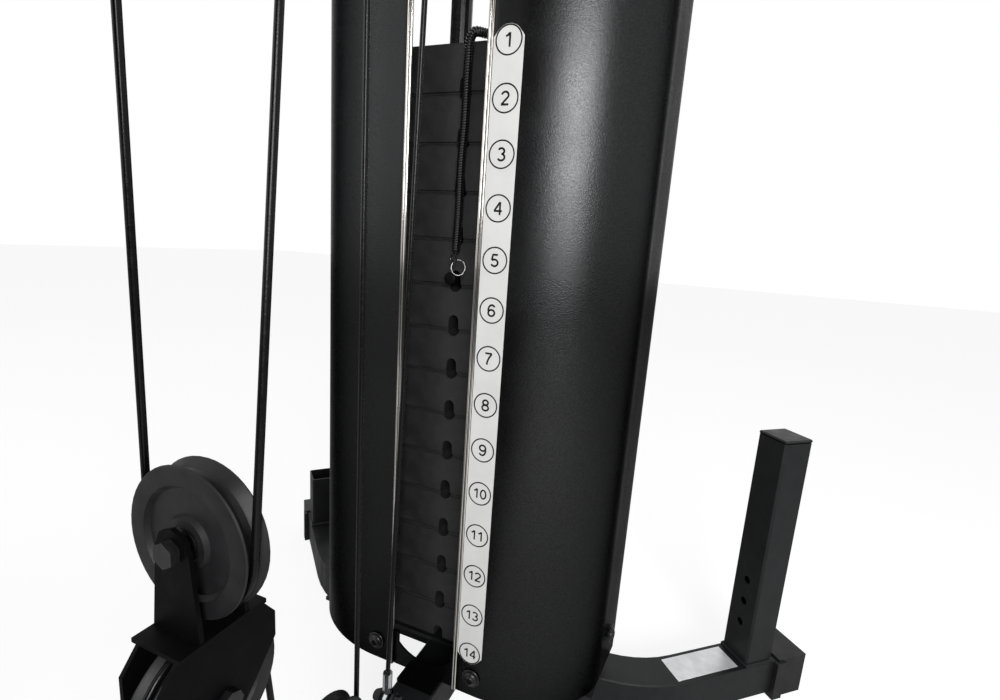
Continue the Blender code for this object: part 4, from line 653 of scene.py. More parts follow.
SIX = [oval(0.29, 0.30, 0.22, 0.255, 0, 360), oval(0.31, 0.53, 0.245, 0.42, 38, 195)]
DIGITS = {
    "0": [oval(0.29, 0.50, 0.22, 0.45, 0, 360)],
    "1": [[(0.10, 0.74), (0.24, 0.83), (0.35, 0.97)], [(0.36, 1.0), (0.36, 0.0)]],
    "2": [oval(0.29, 0.70, 0.22, 0.25, 168, -32) + [(0.07, 0.06)], [(0.04, 0.05), (0.53, 0.05)]],
    "3": [oval(0.27, 0.735, 0.20, 0.215, 155, -85), oval(0.27, 0.29, 0.23, 0.24, 88, -155)],
    "4": [[(0.41, 0.98), (0.04, 0.30)], [(0.02, 0.30), (0.56, 0.30)], [(0.42, 1.0), (0.42, 0.0)]],
    "5": [
        [(0.49, 0.95), (0.14, 0.95)],
        [(0.155, 0.97), (0.10, 0.50)],
        oval(0.28, 0.31, 0.23, 0.265, 140, -155),
    ],
    "6": SIX,
    "7": [[(0.04, 0.95), (0.53, 0.95)], [(0.52, 0.94), (0.34, 0.60), (0.23, 0.28), (0.20, 0.0)]],
    "8": [oval(0.29, 0.745, 0.19, 0.205, 0, 360), oval(0.29, 0.285, 0.225, 0.235, 0, 360)],
    "9": [[(0.58 - x, 1.0 - y) for x, y in stroke] for stroke in SIX],
}


def merge(name, meshes):
    """Several meshes as one."""
    shape = bmesh.new()
    for mesh in meshes:
        shape.from_mesh(mesh)
        bpy.data.meshes.remove(mesh)
    return mesh_from(shape, name)


def smooth_route(points, steps):
    """Points on a smooth curve through the given ones."""
    route = [Vector(point) for point in points]
    padded = [2 * route[0] - route[1], *route, 2 * route[-1] - route[-2]]
    path = []
    for i in range(len(route) - 1):
        a, b, c, d = padded[i : i + 4]
        for step in range(steps):
            t = step / steps
            cubic = (3 * b - a - 3 * c + d) * t**3
            path.append(0.5 * (2 * b + (c - a) * t + (2 * a - 5 * b + 4 * c - d) * t**2 + cubic))
    path.append(route[-1])
    return path


def upright(y):
    """Matrix that stands an outline on the X-Z plane at a depth."""
    return Matrix.Translation((0.0, y, 0.0)) @ Matrix.Rotation(math.radians(90), 4, "X")


def wing_place(side):
    """Frame of a base wing: x along the tube from its bend, y across, z up from its top."""
    outward = Vector((math.sin(BASE_BEND_ANGLE), -math.cos(BASE_BEND_ANGLE), 0.0))
    centre = Vector((BASE_STRAIGHT_HALF, BASE_FRONT_Y + BASE_BEND_RADIUS, BASE_TOP))
    start = centre + outward * (BASE_BEND_RADIUS - BASE_TUBE_HALF)
    if side > 0:
        return Matrix.Translation(start) @ Matrix.Rotation(BASE_BEND_ANGLE, 4, "Z")
    start.x = -start.x
    return Matrix.Translation(start) @ Matrix.Rotation(math.pi - BASE_BEND_ANGLE, 4, "Z")


# Cables


Stop = namedtuple("Stop", "x y z radius turn")


def tangent_run(first, second):
    """Ends of the straight run between two stops, in the Y-Z plane."""
    start = Vector((first.y, first.z))
    end = Vector((second.y, second.z))
    span = end - start
    offset = second.turn * second.radius - first.turn * first.radius
    angle = math.atan2(span.y, span.x) - math.asin(offset / span.length)
    normal = Vector((-math.sin(angle), math.cos(angle)))
    start -= normal * first.turn * first.radius
    end -= normal * second.turn * second.radius
    return start, end


def wheel_stop(name):
    """A wheel that the cable turns round."""
    x, y, z, turn = WHEELS[name][1:]
    return Stop(x, y, z, PITCH_RADIUS, turn)


def end_stop(x, y, z):
    """A point that the cable ends at."""
    return Stop(x, y, z, 0.0, 0)


def cable_stretches(stops):
    """Stretches of points: the straight runs and, between them, the turns round the wheels."""
    runs = [tangent_run(a, b) for a, b in zip(stops, stops[1:])]
    steps = 24
    stretches = []
    for index, (start, end) in enumerate(runs):
        first, second = stops[index], stops[index + 1]
        ends = Vector((first.x, *start)), Vector((second.x, *end))
        stretches.append([ends[0].lerp(ends[1], i / steps) for i in range(steps + 1)])
        if index + 1 < len(runs):
            stretches.append(turn_points(second, end, runs[index + 1][0]))
    return stretches


def turn_points(stop, arrive, leave):
    """Points of the turn round a wheel, at most six degrees apart."""
    centre = Vector((stop.y, stop.z))
    start = math.atan2(*reversed(arrive - centre))
    end = math.atan2(*reversed(leave - centre))
    sweep = ((end - start) * stop.turn) % TURN
    steps = max(3, math.ceil(sweep / math.radians(6)))
    points = []
    for i in range(steps + 1):
        angle = start + stop.turn * sweep * i / steps
        y = centre.x + stop.radius * math.cos(angle)
        points.append(Vector((stop.x, y, centre.y + stop.radius * math.sin(angle))))
    return points


def add_cable(name, points, node, *bodies):
    """One stretch of cable. With one body it rides on that body, else it is left in place in the
    world.
    """
    piece = add_piece(name, tube_along(name, points, CABLE_RADIUS), "cable_gloss")
    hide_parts(node)
    if len(bodies) == 1:
        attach(piece, bodies[0])
    else:
        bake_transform(piece)


class GYM_OT_cables(bpy.types.Operator):
    """Make both steel cables in their sheaths, in stretches that follow the wheels"""

    bl_idname = "multigym.cables"
    bl_label = "Cables"

    def execute(self, context):
        rising = [end_stop(0, ANCHOR_Y, FERRULE_TOP - 0.002), wheel_stop("tower_high")]
        rising.append(end_stop(PITCH_RADIUS, BLOCK_Y, BLOCK_UPPER_Z))
        bodies = [("frame",), ("frame",), ("frame", "block")]
        self.lay("high_cable_rise", cable_stretches(rising), "high_cable", bodies)
        under = arc((0.0, BLOCK_UPPER_Z), PITCH_RADIUS, 0.0, -math.pi, 30)
        add_cable("high_cable_block", [(x, BLOCK_Y, z) for x, z in under], "high_cable", "block")
        forward = [end_stop(-PITCH_RADIUS, BLOCK_Y, BLOCK_UPPER_Z)]
        forward += [wheel_stop(name) for name in ("mast", "press", "beam", "lat")]
        forward.append(end_stop(0, LAT_Y, HOOK_TOP))
        bodies = [("block", "frame"), ("frame",), ("frame", "press"), ("press",)]
        bodies += [("press", "frame")] + [("frame",)] * 3 + [("frame", "lat_handle")]
        self.lay("high_cable_forward", cable_stretches(forward), "high_cable", bodies)
        stack = [end_stop(0, PLATE_Y, STEM_TOP)]
        order = ("stack_rear", "stack_front", "low_rear", "block_lower", "low_mast", "low_front")
        stack += [wheel_stop(name) for name in order]
        stack.append(end_stop(0, *LEG_LUG))
        bodies = [("lifted_stack", "frame")] + [("frame",)] * 5
        bodies += [("frame", "block"), ("block",), ("block", "frame")]
        bodies += [("frame",)] * 3 + [("frame", "leg")]
        self.lay("stack_cable", cable_stretches(stack), "stack_cable", bodies)
        return {"FINISHED"}

    def lay(self, name, stretches, node, bodies):
        """One piece for each stretch, on the bodies that stand at its place in the list."""
        if len(stretches) != len(bodies):
            raise RuntimeError(f"{name} has {len(stretches)} stretches and {len(bodies)} bodies")
        for index, (points, pair) in enumerate(zip(stretches, bodies), 1):
            add_cable(f"{name}_{index}", points, node, *pair)


# Finishes and hard parts


class GYM_OT_finishes(bpy.types.Operator):
    """Make the materials and put them on the solids"""

    bl_idname = "multigym.finishes"
    bl_label = "Finishes"

    def execute(self, context):
        make_finishes(context.scene.gym_finish)
        slots = {entry["node"]: entry["material_slot"] for entry in frame["record"]["subparts"]}
        for name, node in frame["nodes"].items():
            node.data.materials.clear()
            coat = COAT_OF.get(name, FINISH_OF[slots[name]])
            node.data.materials.append(finish(coat))
        return {"FINISHED"}


class GYM_OT_cover(bpy.types.Operator):
    """Make both bent sheets of the tower's cover, with softened edges"""

    bl_idname = "multigym.cover"
    bl_label = "Cover"

    def execute(self, context):
        for side, word in SIDES:
            name = f"cover_{word}_sheet"
            piece = add_piece(name, self.sheet(side, name), "cover_satin")
            self.thicken(piece)
            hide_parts(f"cover_{word}")
            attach(piece, "frame")
        return {"FINISHED"}

    def line(self):
        """Plan line from the opening round the corner to the rear edge."""
        flat_steps, corner_steps, rear_steps = 3, 40, 6
        inset = 0.0002
        flat = FLAT_HALF - OPENING_EDGE
        points = [(OPENING_EDGE + flat * i / flat_steps, 0.0) for i in range(flat_steps)]
        for i in range(corner_steps + 1):
            angle = math.pi / 2 * i / corner_steps
            x = FLAT_HALF + CORNER_X * math.sin(angle)
            points.append((x, CORNER_Y * (1 - math.cos(angle))))
        rear = (COVER_HIGH.x - inset, COVER_HIGH.y - inset)
        start = points[-1]
        for i in range(1, rear_steps + 1):
            share = i / rear_steps
            x = start[0] + (rear[0] - start[0]) * share
            points.append((x, start[1] + (rear[1] - start[1]) * share))
        return points

    def sheet(self, side, name):
        """Outer skin of one half of the cover, with its faces outward."""
        shape = bmesh.new()
        line = self.line()
        count = 24
        rows = []
        for row in range(count + 1):
            height = COVER_LOW.z + (COVER_HIGH.z - COVER_LOW.z) * row / count
            rows.append([shape.verts.new((side * x, y, height)) for x, y in line])
        for lower, upper in zip(rows, rows[1:]):
            for i in range(len(line) - 1):
                shape.faces.new((lower[i], lower[i + 1], upper[i + 1], upper[i]))
        bmesh.ops.recalc_face_normals(shape, faces=shape.faces)
        if shape.faces[0].normal.y > 0:
            bmesh.ops.reverse_faces(shape, faces=shape.faces)
        mesh = bpy.data.meshes.new(name)
        shape.to_mesh(mesh)
        shape.free()
        return mesh

    def thicken(self, piece):
        """Give the skin its thickness and soft edges."""
        thick = piece.modifiers.new("Sheet", "SOLIDIFY")
        thick.thickness = SHEET_THICKNESS
        thick.offset = -1.0
        edge = piece.modifiers.new("Edge", "BEVEL")
        edge.width = 0.0004
        edge.segments = 2
        edge.limit_method = "ANGLE"
        edge.angle_limit = math.radians(60)
        apply_modifiers(piece)
        piece.data.shade_smooth()
        piece.data.set_sharp_from_angle(angle=math.radians(50))

class GYM_OT_trims(bpy.types.Operator):
    """Make the bright edge trims of the opening, with rounded faces, painted reflection streaks and
    a dark strip painted as the shade of their groove
    """

    bl_idname = "multigym.trims"
    bl_label = "Edge trims"

    def execute(self, context):
        shade_strip_half, shade_strip_depth, gap, edge = 0.0006, 0.0010, 0.0002, 0.0002
        for side, word in SIDES:
            node = f"trim_{word}"
            low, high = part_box(node)
            inner, outer = sorted((abs(low.x), abs(high.x)))
            outline = [(side * x, y) for x, y in self.section(inner, outer, low.y, high.y)]
            mesh = prism(f"{node}_bead", outline, low.z, high.z, Matrix.Identity(4))
            carried(f"{node}_bead", mesh, "chrome_painted_reflections", "frame", node)
            # Dark matt strip down the groove between the beads: painted shade of the groove
            middle = (low.x + high.x) / 2
            start = (middle - shade_strip_half, low.y + gap, low.z + gap)
            end = (middle + shade_strip_half, low.y + shade_strip_depth, high.z - gap)
            mesh = rounded_box(f"{node}_insert", start, end, edge, 2)
            carried(f"{node}_insert", mesh, "matt_rubber", "frame")
        return {"FINISHED"}

    def section(self, inner, outer, front, rear):
        """Plan outline of a trim that hugs the sheet: two beads, round nose, slot at the back."""
        wall, groove, nose_depth = 0.0011, 0.0009, 0.0006
        slot_end = inner + wall + 0.0002
        middle = (inner + outer) / 2
        half = (outer - inner) / 2
        points = []
        for i in range(25):
            share = 1 - i / 12
            bead = abs(math.sin(math.pi * share)) ** 0.6
            points.append((middle + half * share, front + groove * (1 - bead)))
        nose = (rear - front) / 2 - groove
        for i in range(1, 8):
            angle = math.pi * i / 8
            across = (front + rear) / 2 - nose * math.cos(angle)
            points.append((inner + nose_depth * (1 - math.sin(angle)), across))
        points += [(inner + nose_depth, rear - groove), (middle, rear), (outer, rear - 0.0004)]
        points += [(outer, rear - wall), (slot_end, rear - wall)]
        points += [(slot_end, front + wall), (outer, front + wall)]
        return points


class GYM_OT_plates(bpy.types.Operator):
    """Make the fourteen weight plates with their rounded edges, pin slots and bores"""

    bl_idname = "multigym.plates"
    bl_label = "Weight plates"

    def execute(self, context):
        master = self.plate_mesh()
        for index in range(1, PLATE_COUNT + 1):
            lifted = index <= LIFTED_COUNT
            piece = bpy.data.objects.new(f"plate_{index}", master)
            context.scene.collection.objects.link(piece)
            piece.location.z = STACK_BOTTOM + (PLATE_COUNT - index) * PLATE_PITCH
            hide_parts("lifted_plates" if lifted else "resting_plates")
            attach(piece, "lifted_stack" if lifted else "frame")
        return {"FINISHED"}

    def plate_mesh(self):
        """One plate with its underside at height 0."""
        low = (RESTING_LOW.x, RESTING_LOW.y, 0.0)
        high = (RESTING_HIGH.x, RESTING_HIGH.y, PLATE_PITCH - PLATE_GAP)
        mesh = rounded_box("plate_body", low, high, 0.0022, 3)
        body = add_piece("plate_body", mesh, "plate_grain")
        margin = 0.01
        depth = RESTING_LOW.y - margin
        reach = PLATE_Y + 0.022
        crown = arc((0.0, 0.0110), 0.0060, 0.0, math.pi, 16)
        slot = [(0.0068, -0.002), *crown, (-0.0068, -0.002)]
        scoop = arc((0.0, PLATE_PITCH), 0.0070, math.pi, TURN, 16)
        cutters = [
            prism(name, outline, -reach, -depth, Matrix.Rotation(math.radians(90), 4, "X"))
            for name, outline in (("slot", slot), ("scoop", scoop))
        ]
        for x, radius in ((-ROD_X, ROD_BORE), (ROD_X, ROD_BORE), (0.0, STEM_BORE)):
            bore = [(0.0, -margin), (radius, -margin)]
            bore += [(radius, PLATE_PITCH + margin), (0.0, PLATE_PITCH + margin)]
            cutters.append(lathe("bore", bore, (x, PLATE_Y, 0.0), UP, 24))
        for cutter in cutters:
            self.carve(body, cutter)
        mesh = body.data
        mesh.shade_smooth()
        mesh.set_sharp_from_angle(angle=math.radians(30))
        bpy.data.objects.remove(body)
        return mesh

    def carve(self, body, mesh):
        """Cut a mesh out of a body."""
        tool = bpy.data.objects.new("tool", mesh)
        bpy.context.scene.collection.objects.link(tool)
        step = body.modifiers.new("Carve", "BOOLEAN")
        step.operation = "DIFFERENCE"
        step.solver = "EXACT"
        step.object = tool
        apply_modifiers(body)
        bpy.data.objects.remove(tool)


class GYM_OT_numbers(bpy.types.Operator):
    """Make the scale strip and print the plate numbers and their rings on it"""

    bl_idname = "multigym.numbers"
    bl_label = "Plate numbers"

    def execute(self, context):
        settings = context.scene.gym_detail
        centre_x = SCALE_LOW.x + SCALE_HALF
        first = SCALE_LOW.z + (SCALE_HIGH.x - SCALE_LOW.x) / 2
        heights = [first + below * PLATE_PITCH for below in reversed(range(PLATE_COUNT))]
        self.strip(centre_x, heights[-1], heights[0], settings.ring_radius + RING_GAP)
        face = SCALE_LOW.y - PRINT_LIFT
        line_radius = settings.ring_radius - RING_LINE / 2
        meshes = []
        for index, height in enumerate(heights, 1):
            size = settings.number_size * (1.0 if index < 10 else 0.89)
            place = Matrix.Translation((centre_x, face, height)) @ upright(0.0)
            meshes.append(self.print_number(str(index), size, place))
            meshes.append(ribbon([arc((0, 0), line_radius, 0, TURN, 64)], RING_LINE, place))
        mesh = merge("scale_numbers", meshes)
        piece = add_piece("scale_numbers", mesh, "number_ink", False)
        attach(piece, "frame")
        return {"FINISHED"}

    def strip(self, centre_x, low, high, radius):
        """Thin plate whose ends follow the first and the last ring, with bevelled rims."""
        rim = 0.003
        outline = [(centre_x + SCALE_HALF, low - rim), (centre_x + SCALE_HALF, high + rim)]
        start, end = math.radians(35), math.radians(145)
        outline += arc((centre_x, high), radius, start, end, 14)
        outline += [(centre_x - SCALE_HALF, high + rim), (centre_x - SCALE_HALF, low - rim)]
        outline += arc((centre_x, low), radius, start + math.pi, end + math.pi, 14)
        mesh = prism("scale_strip", outline, -SCALE_HIGH.y, -SCALE_LOW.y, upright(0.0))
        piece = add_piece("scale_strip", mesh, "scale_silver")
        rims = piece.modifiers.new("Rims", "BEVEL")
        rims.width = 0.0002
        rims.segments = 2
        apply_modifiers(piece)
        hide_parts("number_scale")
        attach(piece, "frame")

    def print_number(self, digits, size, place):
        """Strokes of one plate number, centred on its place."""
        widen = 1.25
        advance = 0.60 * widen
        start = -(advance * len(digits) - 0.02) / 2
        strokes = []
        for index, digit in enumerate(digits):
            shift = start + advance * index
            for stroke in DIGITS[digit]:
                strokes.append([((x * widen + shift) * size, (y - 0.5) * size) for x, y in stroke])
        return ribbon(strokes, size * 0.160, place)


class GYM_OT_wheels(bpy.types.Operator):
    """Make the twelve cable wheels with rims, webs, hubs and bearings"""

    bl_idname = "multigym.wheels"
    bl_label = "Wheels"

    def execute(self, context):
        sides = context.scene.gym_detail.wheel_sides
        for name, (body, x, y, z, _turn) in WHEELS.items():
            axis = (0, 1, 0) if name == "block_upper" else (1, 0, 0)
            rim = lathe(f"wheel_{name}_rim", self.rim(), (x, y, z), axis, sides)
            carried(f"wheel_{name}_rim", rim, "moulded_nylon", body, f"pulley_{name}")
            bearing = lathe(f"wheel_{name}_bearing", self.bearing(), (x, y, z), axis, 32)
            carried(f"wheel_{name}_bearing", bearing, "black_oxide", body)
        return {"FINISHED"}

    def rim(self):
        """Half section from the bearing seat out to the flange, mirrored about the middle plane."""
        outer = WHEEL_HIGH.z - (WHEEL_LOW.z + WHEEL_HIGH.z) / 2
        half = (WHEEL_HIGH.x - WHEEL_LOW.x) / 2
        groove = PITCH_RADIUS - CABLE_RADIUS
        side = [
            (0.0112, half - 0.0006),
            (0.0118, half),
            (0.0165, half),
            (0.0180, half - 0.0030),
            (0.0340, half - 0.0034),
            (0.0365, half - 0.0004),
            (outer - 0.0022, half - 0.0002),
            (outer - 0.0006, half - 0.0007),
            (outer, half - 0.0018),
            (outer - 0.0012, half - 0.0028),
            (groove + 0.0020, 0.0036),
            (groove + 0.0004, 0.0022),
            (groove, 0.0),
        ]
        return side + mirrored(side[:-1])

    def bearing(self):
        """Half section of the bearing: inner ring, shield and outer ring, mirrored as well."""
        half = (WHEEL_HIGH.x - WHEEL_LOW.x) / 2 - 0.0008
        side = [(0.0056, half), (0.0078, half), (0.0080, half - 0.0005), (0.0096, half - 0.0005)]
        side += [(0.0098, half), (0.0111, half)]
        return side + mirrored(side)


class GYM_OT_fasteners(bpy.types.Operator):
    """Make the socket head bolts of the cover with their washers"""

    bl_idname = "multigym.fasteners"
    bl_label = "Fasteners"

    def execute(self, context):
        for name, direction in (
            ("front_bolt_left", (0, -1, 0)),
            ("front_bolt_right", (0, -1, 0)),
            ("side_bolt_left", (-1, 0, 0)),
            ("side_bolt_right", (1, 0, 0)),
        ):
            low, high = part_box(name)
            axis = Vector(direction)
            seat = (low + high) / 2
            for i in range(3):
                if axis[i]:
                    seat[i] = low[i] if axis[i] < 0 else high[i]
                    span = abs(high[i] - low[i]) - BOLT_HEAD
            self.screw(name, seat - axis * BOLT_HEAD, axis, span)
        return {"FINISHED"}

    def screw(self, name, seat, axis, span):
        """Washer, domed head, shank and nut along an axis: the seat is under the washer."""
        washer = [(0.0054, 0.0), (0.0106, 0.0), (0.0110, 0.0004)]
        washer += [(0.0110, 0.0011), (0.0106, 0.0015), (0.0054, 0.0015)]
        dome = [(0.0, 0.0015), (0.0085, 0.0015), (0.0086, 0.0021)]
        dome += [(0.0086 * math.cos(a), 0.0021 + 0.0036 * math.sin(a)) for a in (0.35, 0.7, 1.0)]
        dome += [(0.0041, 0.0057), (0.0037, 0.0056)]
        shank = [(0.0, 0.0), (0.0047, 0.0), (0.0047, -span), (0.0, -span - 0.0002)]
        nut_low, nut_high = -span + 0.0006, -span + 0.0064
        parts = [
            lathe("washer", washer, ORIGIN, UP, 32),
            lathe("head", dome, ORIGIN, UP, 32),
            self.socket(),
            lathe("shank", shank, ORIGIN, UP, 20),
            prism("nut", hexagon(0.0094), nut_low, nut_high, Matrix.Identity(4)),
        ]
        mesh = merge(f"{name}_detail", parts)
        turn = axis.to_track_quat("Z", "Y").to_matrix().to_4x4()
        mesh.transform(Matrix.Translation(seat) @ turn)
        carried(f"{name}_detail", mesh, "black_oxide", "frame", name)

    def socket(self):
        """Hexagonal recess in the top of a head."""
        shape = bmesh.new()
        rim = [shape.verts.new((x, y, 0.0056)) for x, y in hexagon(0.0038)]
        floor = [shape.verts.new((x, y, 0.0026)) for x, y in hexagon(0.0036)]
        for i in range(6):
            j = (i + 1) % 6
            shape.faces.new((rim[j], rim[i], floor[i], floor[j]))
        shape.faces.new(floor)
        return mesh_from(shape, "socket")


class GYM_OT_tether(bpy.types.Operator):
    """Wind the coiled tether of the selector pin and make the pin with its knob and ring"""

    bl_idname = "multigym.tether"
    bl_label = "Tether and pin"

    def execute(self, context):
        settings = context.scene.gym_detail
        front_gap, top_gap = 0.0012, 0.0008
        front = RESTING_LOW.y - settings.tether_radius - front_gap
        top = STACK_TOP + settings.tether_radius + top_gap
        guide = [
            (0.0200, PLATE_Y - 0.012, top + 0.001),
            (0.0330, PLATE_Y - 0.030, top),
            (0.0340, PLATE_Y - 0.052, top),
            (0.0190, RESTING_LOW.y + 0.007, top + 0.0015),
            (0.0080, front + 0.0008, top - 0.002),
            (0.0060, front - 0.001, STACK_TOP - 0.024),
            (0.0050, front, STACK_TOP - 0.080),
            (0.0030, front, (STACK_TOP + PIN_Z) / 2),
            (0.0036, front - 0.001, PIN_Z + 0.070),
            (0.0042, front - 0.0045, PIN_Z + 0.026),
        ]
        points = self.wind(smooth_route(guide, 30), settings)
        mesh = tube_along("pin_tether_coil", points, settings.tether_wire, 6)
        piece = add_piece("pin_tether_coil", mesh, "cord_gloss")
        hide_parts("pin_tether")
        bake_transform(piece)
        self.pin()
        return {"FINISHED"}

    def wind(self, path, settings):
        """Tight helix along a path, drawn in at both ends."""
        lengths = [0.0]
        for a, b in zip(path, path[1:]):
            lengths.append(lengths[-1] + (b - a).length)
        coil_gap, sides, ease = 0.00022, 12, 18
        pitch = 2 * settings.tether_wire + coil_gap
        count = int(lengths[-1] / pitch) * sides
        reach = settings.tether_radius - settings.tether_wire
        normal = Vector((1, 0, 0))
        points = []
        segment = 0
        for i in range(count + 1):
            distance = lengths[-1] * i / count
            while segment < len(path) - 2 and lengths[segment + 1] < distance:
                segment += 1
            share = (distance - lengths[segment]) / (lengths[segment + 1] - lengths[segment])
            centre = path[segment].lerp(path[segment + 1], share)
            direction = (path[segment + 1] - path[segment]).normalized()
            normal = (normal - direction * normal.dot(direction)).normalized()
            side = direction.cross(normal)
            angle = TURN * i / sides
            grow = min(1.0, i / ease, (count - i) / ease)
            offset = normal * math.cos(angle) + side * math.sin(angle)
            points.append(centre + offset * reach * grow)
        return points

    def pin(self):
        """The selector pin: rod, knob, ring and the loop that the tether ends in."""
        head = PIN_LOW.y + 0.0016
        reach = PIN_HIGH.y - head
        forward = (0, 1, 0)
        rod = [(0.0, 0.0), (0.0041, 0.0), (0.0041, reach - 0.0016)]
        rod += [(0.0030, reach - 0.0002), (0.0, reach - 0.0002)]
        mesh = lathe("selector_pin_rod", rod, (0, head, PIN_Z), forward, 28)
        carried("selector_pin_rod", mesh, "bright_chrome", "pin", "selector_pin")
        knob = [(0.0, 0.0), (0.0052, 0.0), (0.0066, 0.0009), (0.0069, 0.0022), (0.0058, 0.0040)]
        knob += [(0.0058, 0.0060), (0.0070, 0.0080), (0.0070, 0.0106), (0.0, 0.0106)]
        mesh = lathe("selector_pin_knob", knob, (0, head - 0.0004, PIN_Z), forward, 36)
        carried("selector_pin_knob", mesh, "painted_shade_block_paint", "pin")
        lean, yaw = math.radians(-12), math.radians(22)
        tilt = Matrix.Rotation(lean, 3, "X") @ Matrix.Rotation(yaw, 3, "Z")
        centre = Vector((0.0108, head - 0.0016, PIN_Z + 0.0125))
        wide, tall, wire, steps = 0.0074, 0.0083, 0.00080, 48
        ring = []
        for i in range(steps):
            angle = TURN * i / steps
            offset = Vector((wide * math.cos(angle), 0.0, tall * math.sin(angle)))
            ring.append(centre + tilt @ offset)
        mesh = tube_along("selector_pin_ring", ring, wire, 10, True)
        carried("selector_pin_ring", mesh, "dark_nickel", "pin")
        link = [
            (0.0042, head - 0.0030, PIN_Z + 0.0265),
            (0.0020, head - 0.0036, PIN_Z + 0.0215),
            (0.0056, head - 0.0034, PIN_Z + 0.0180),
            (0.0082, head - 0.0020, PIN_Z + 0.0206),
            (0.0046, head - 0.0030, PIN_Z + 0.0262),
        ]
        mesh = tube_along("selector_pin_loop", smooth_route(link, 8), 0.0009, 8)
        carried("selector_pin_loop", mesh, "cord_gloss", "pin")


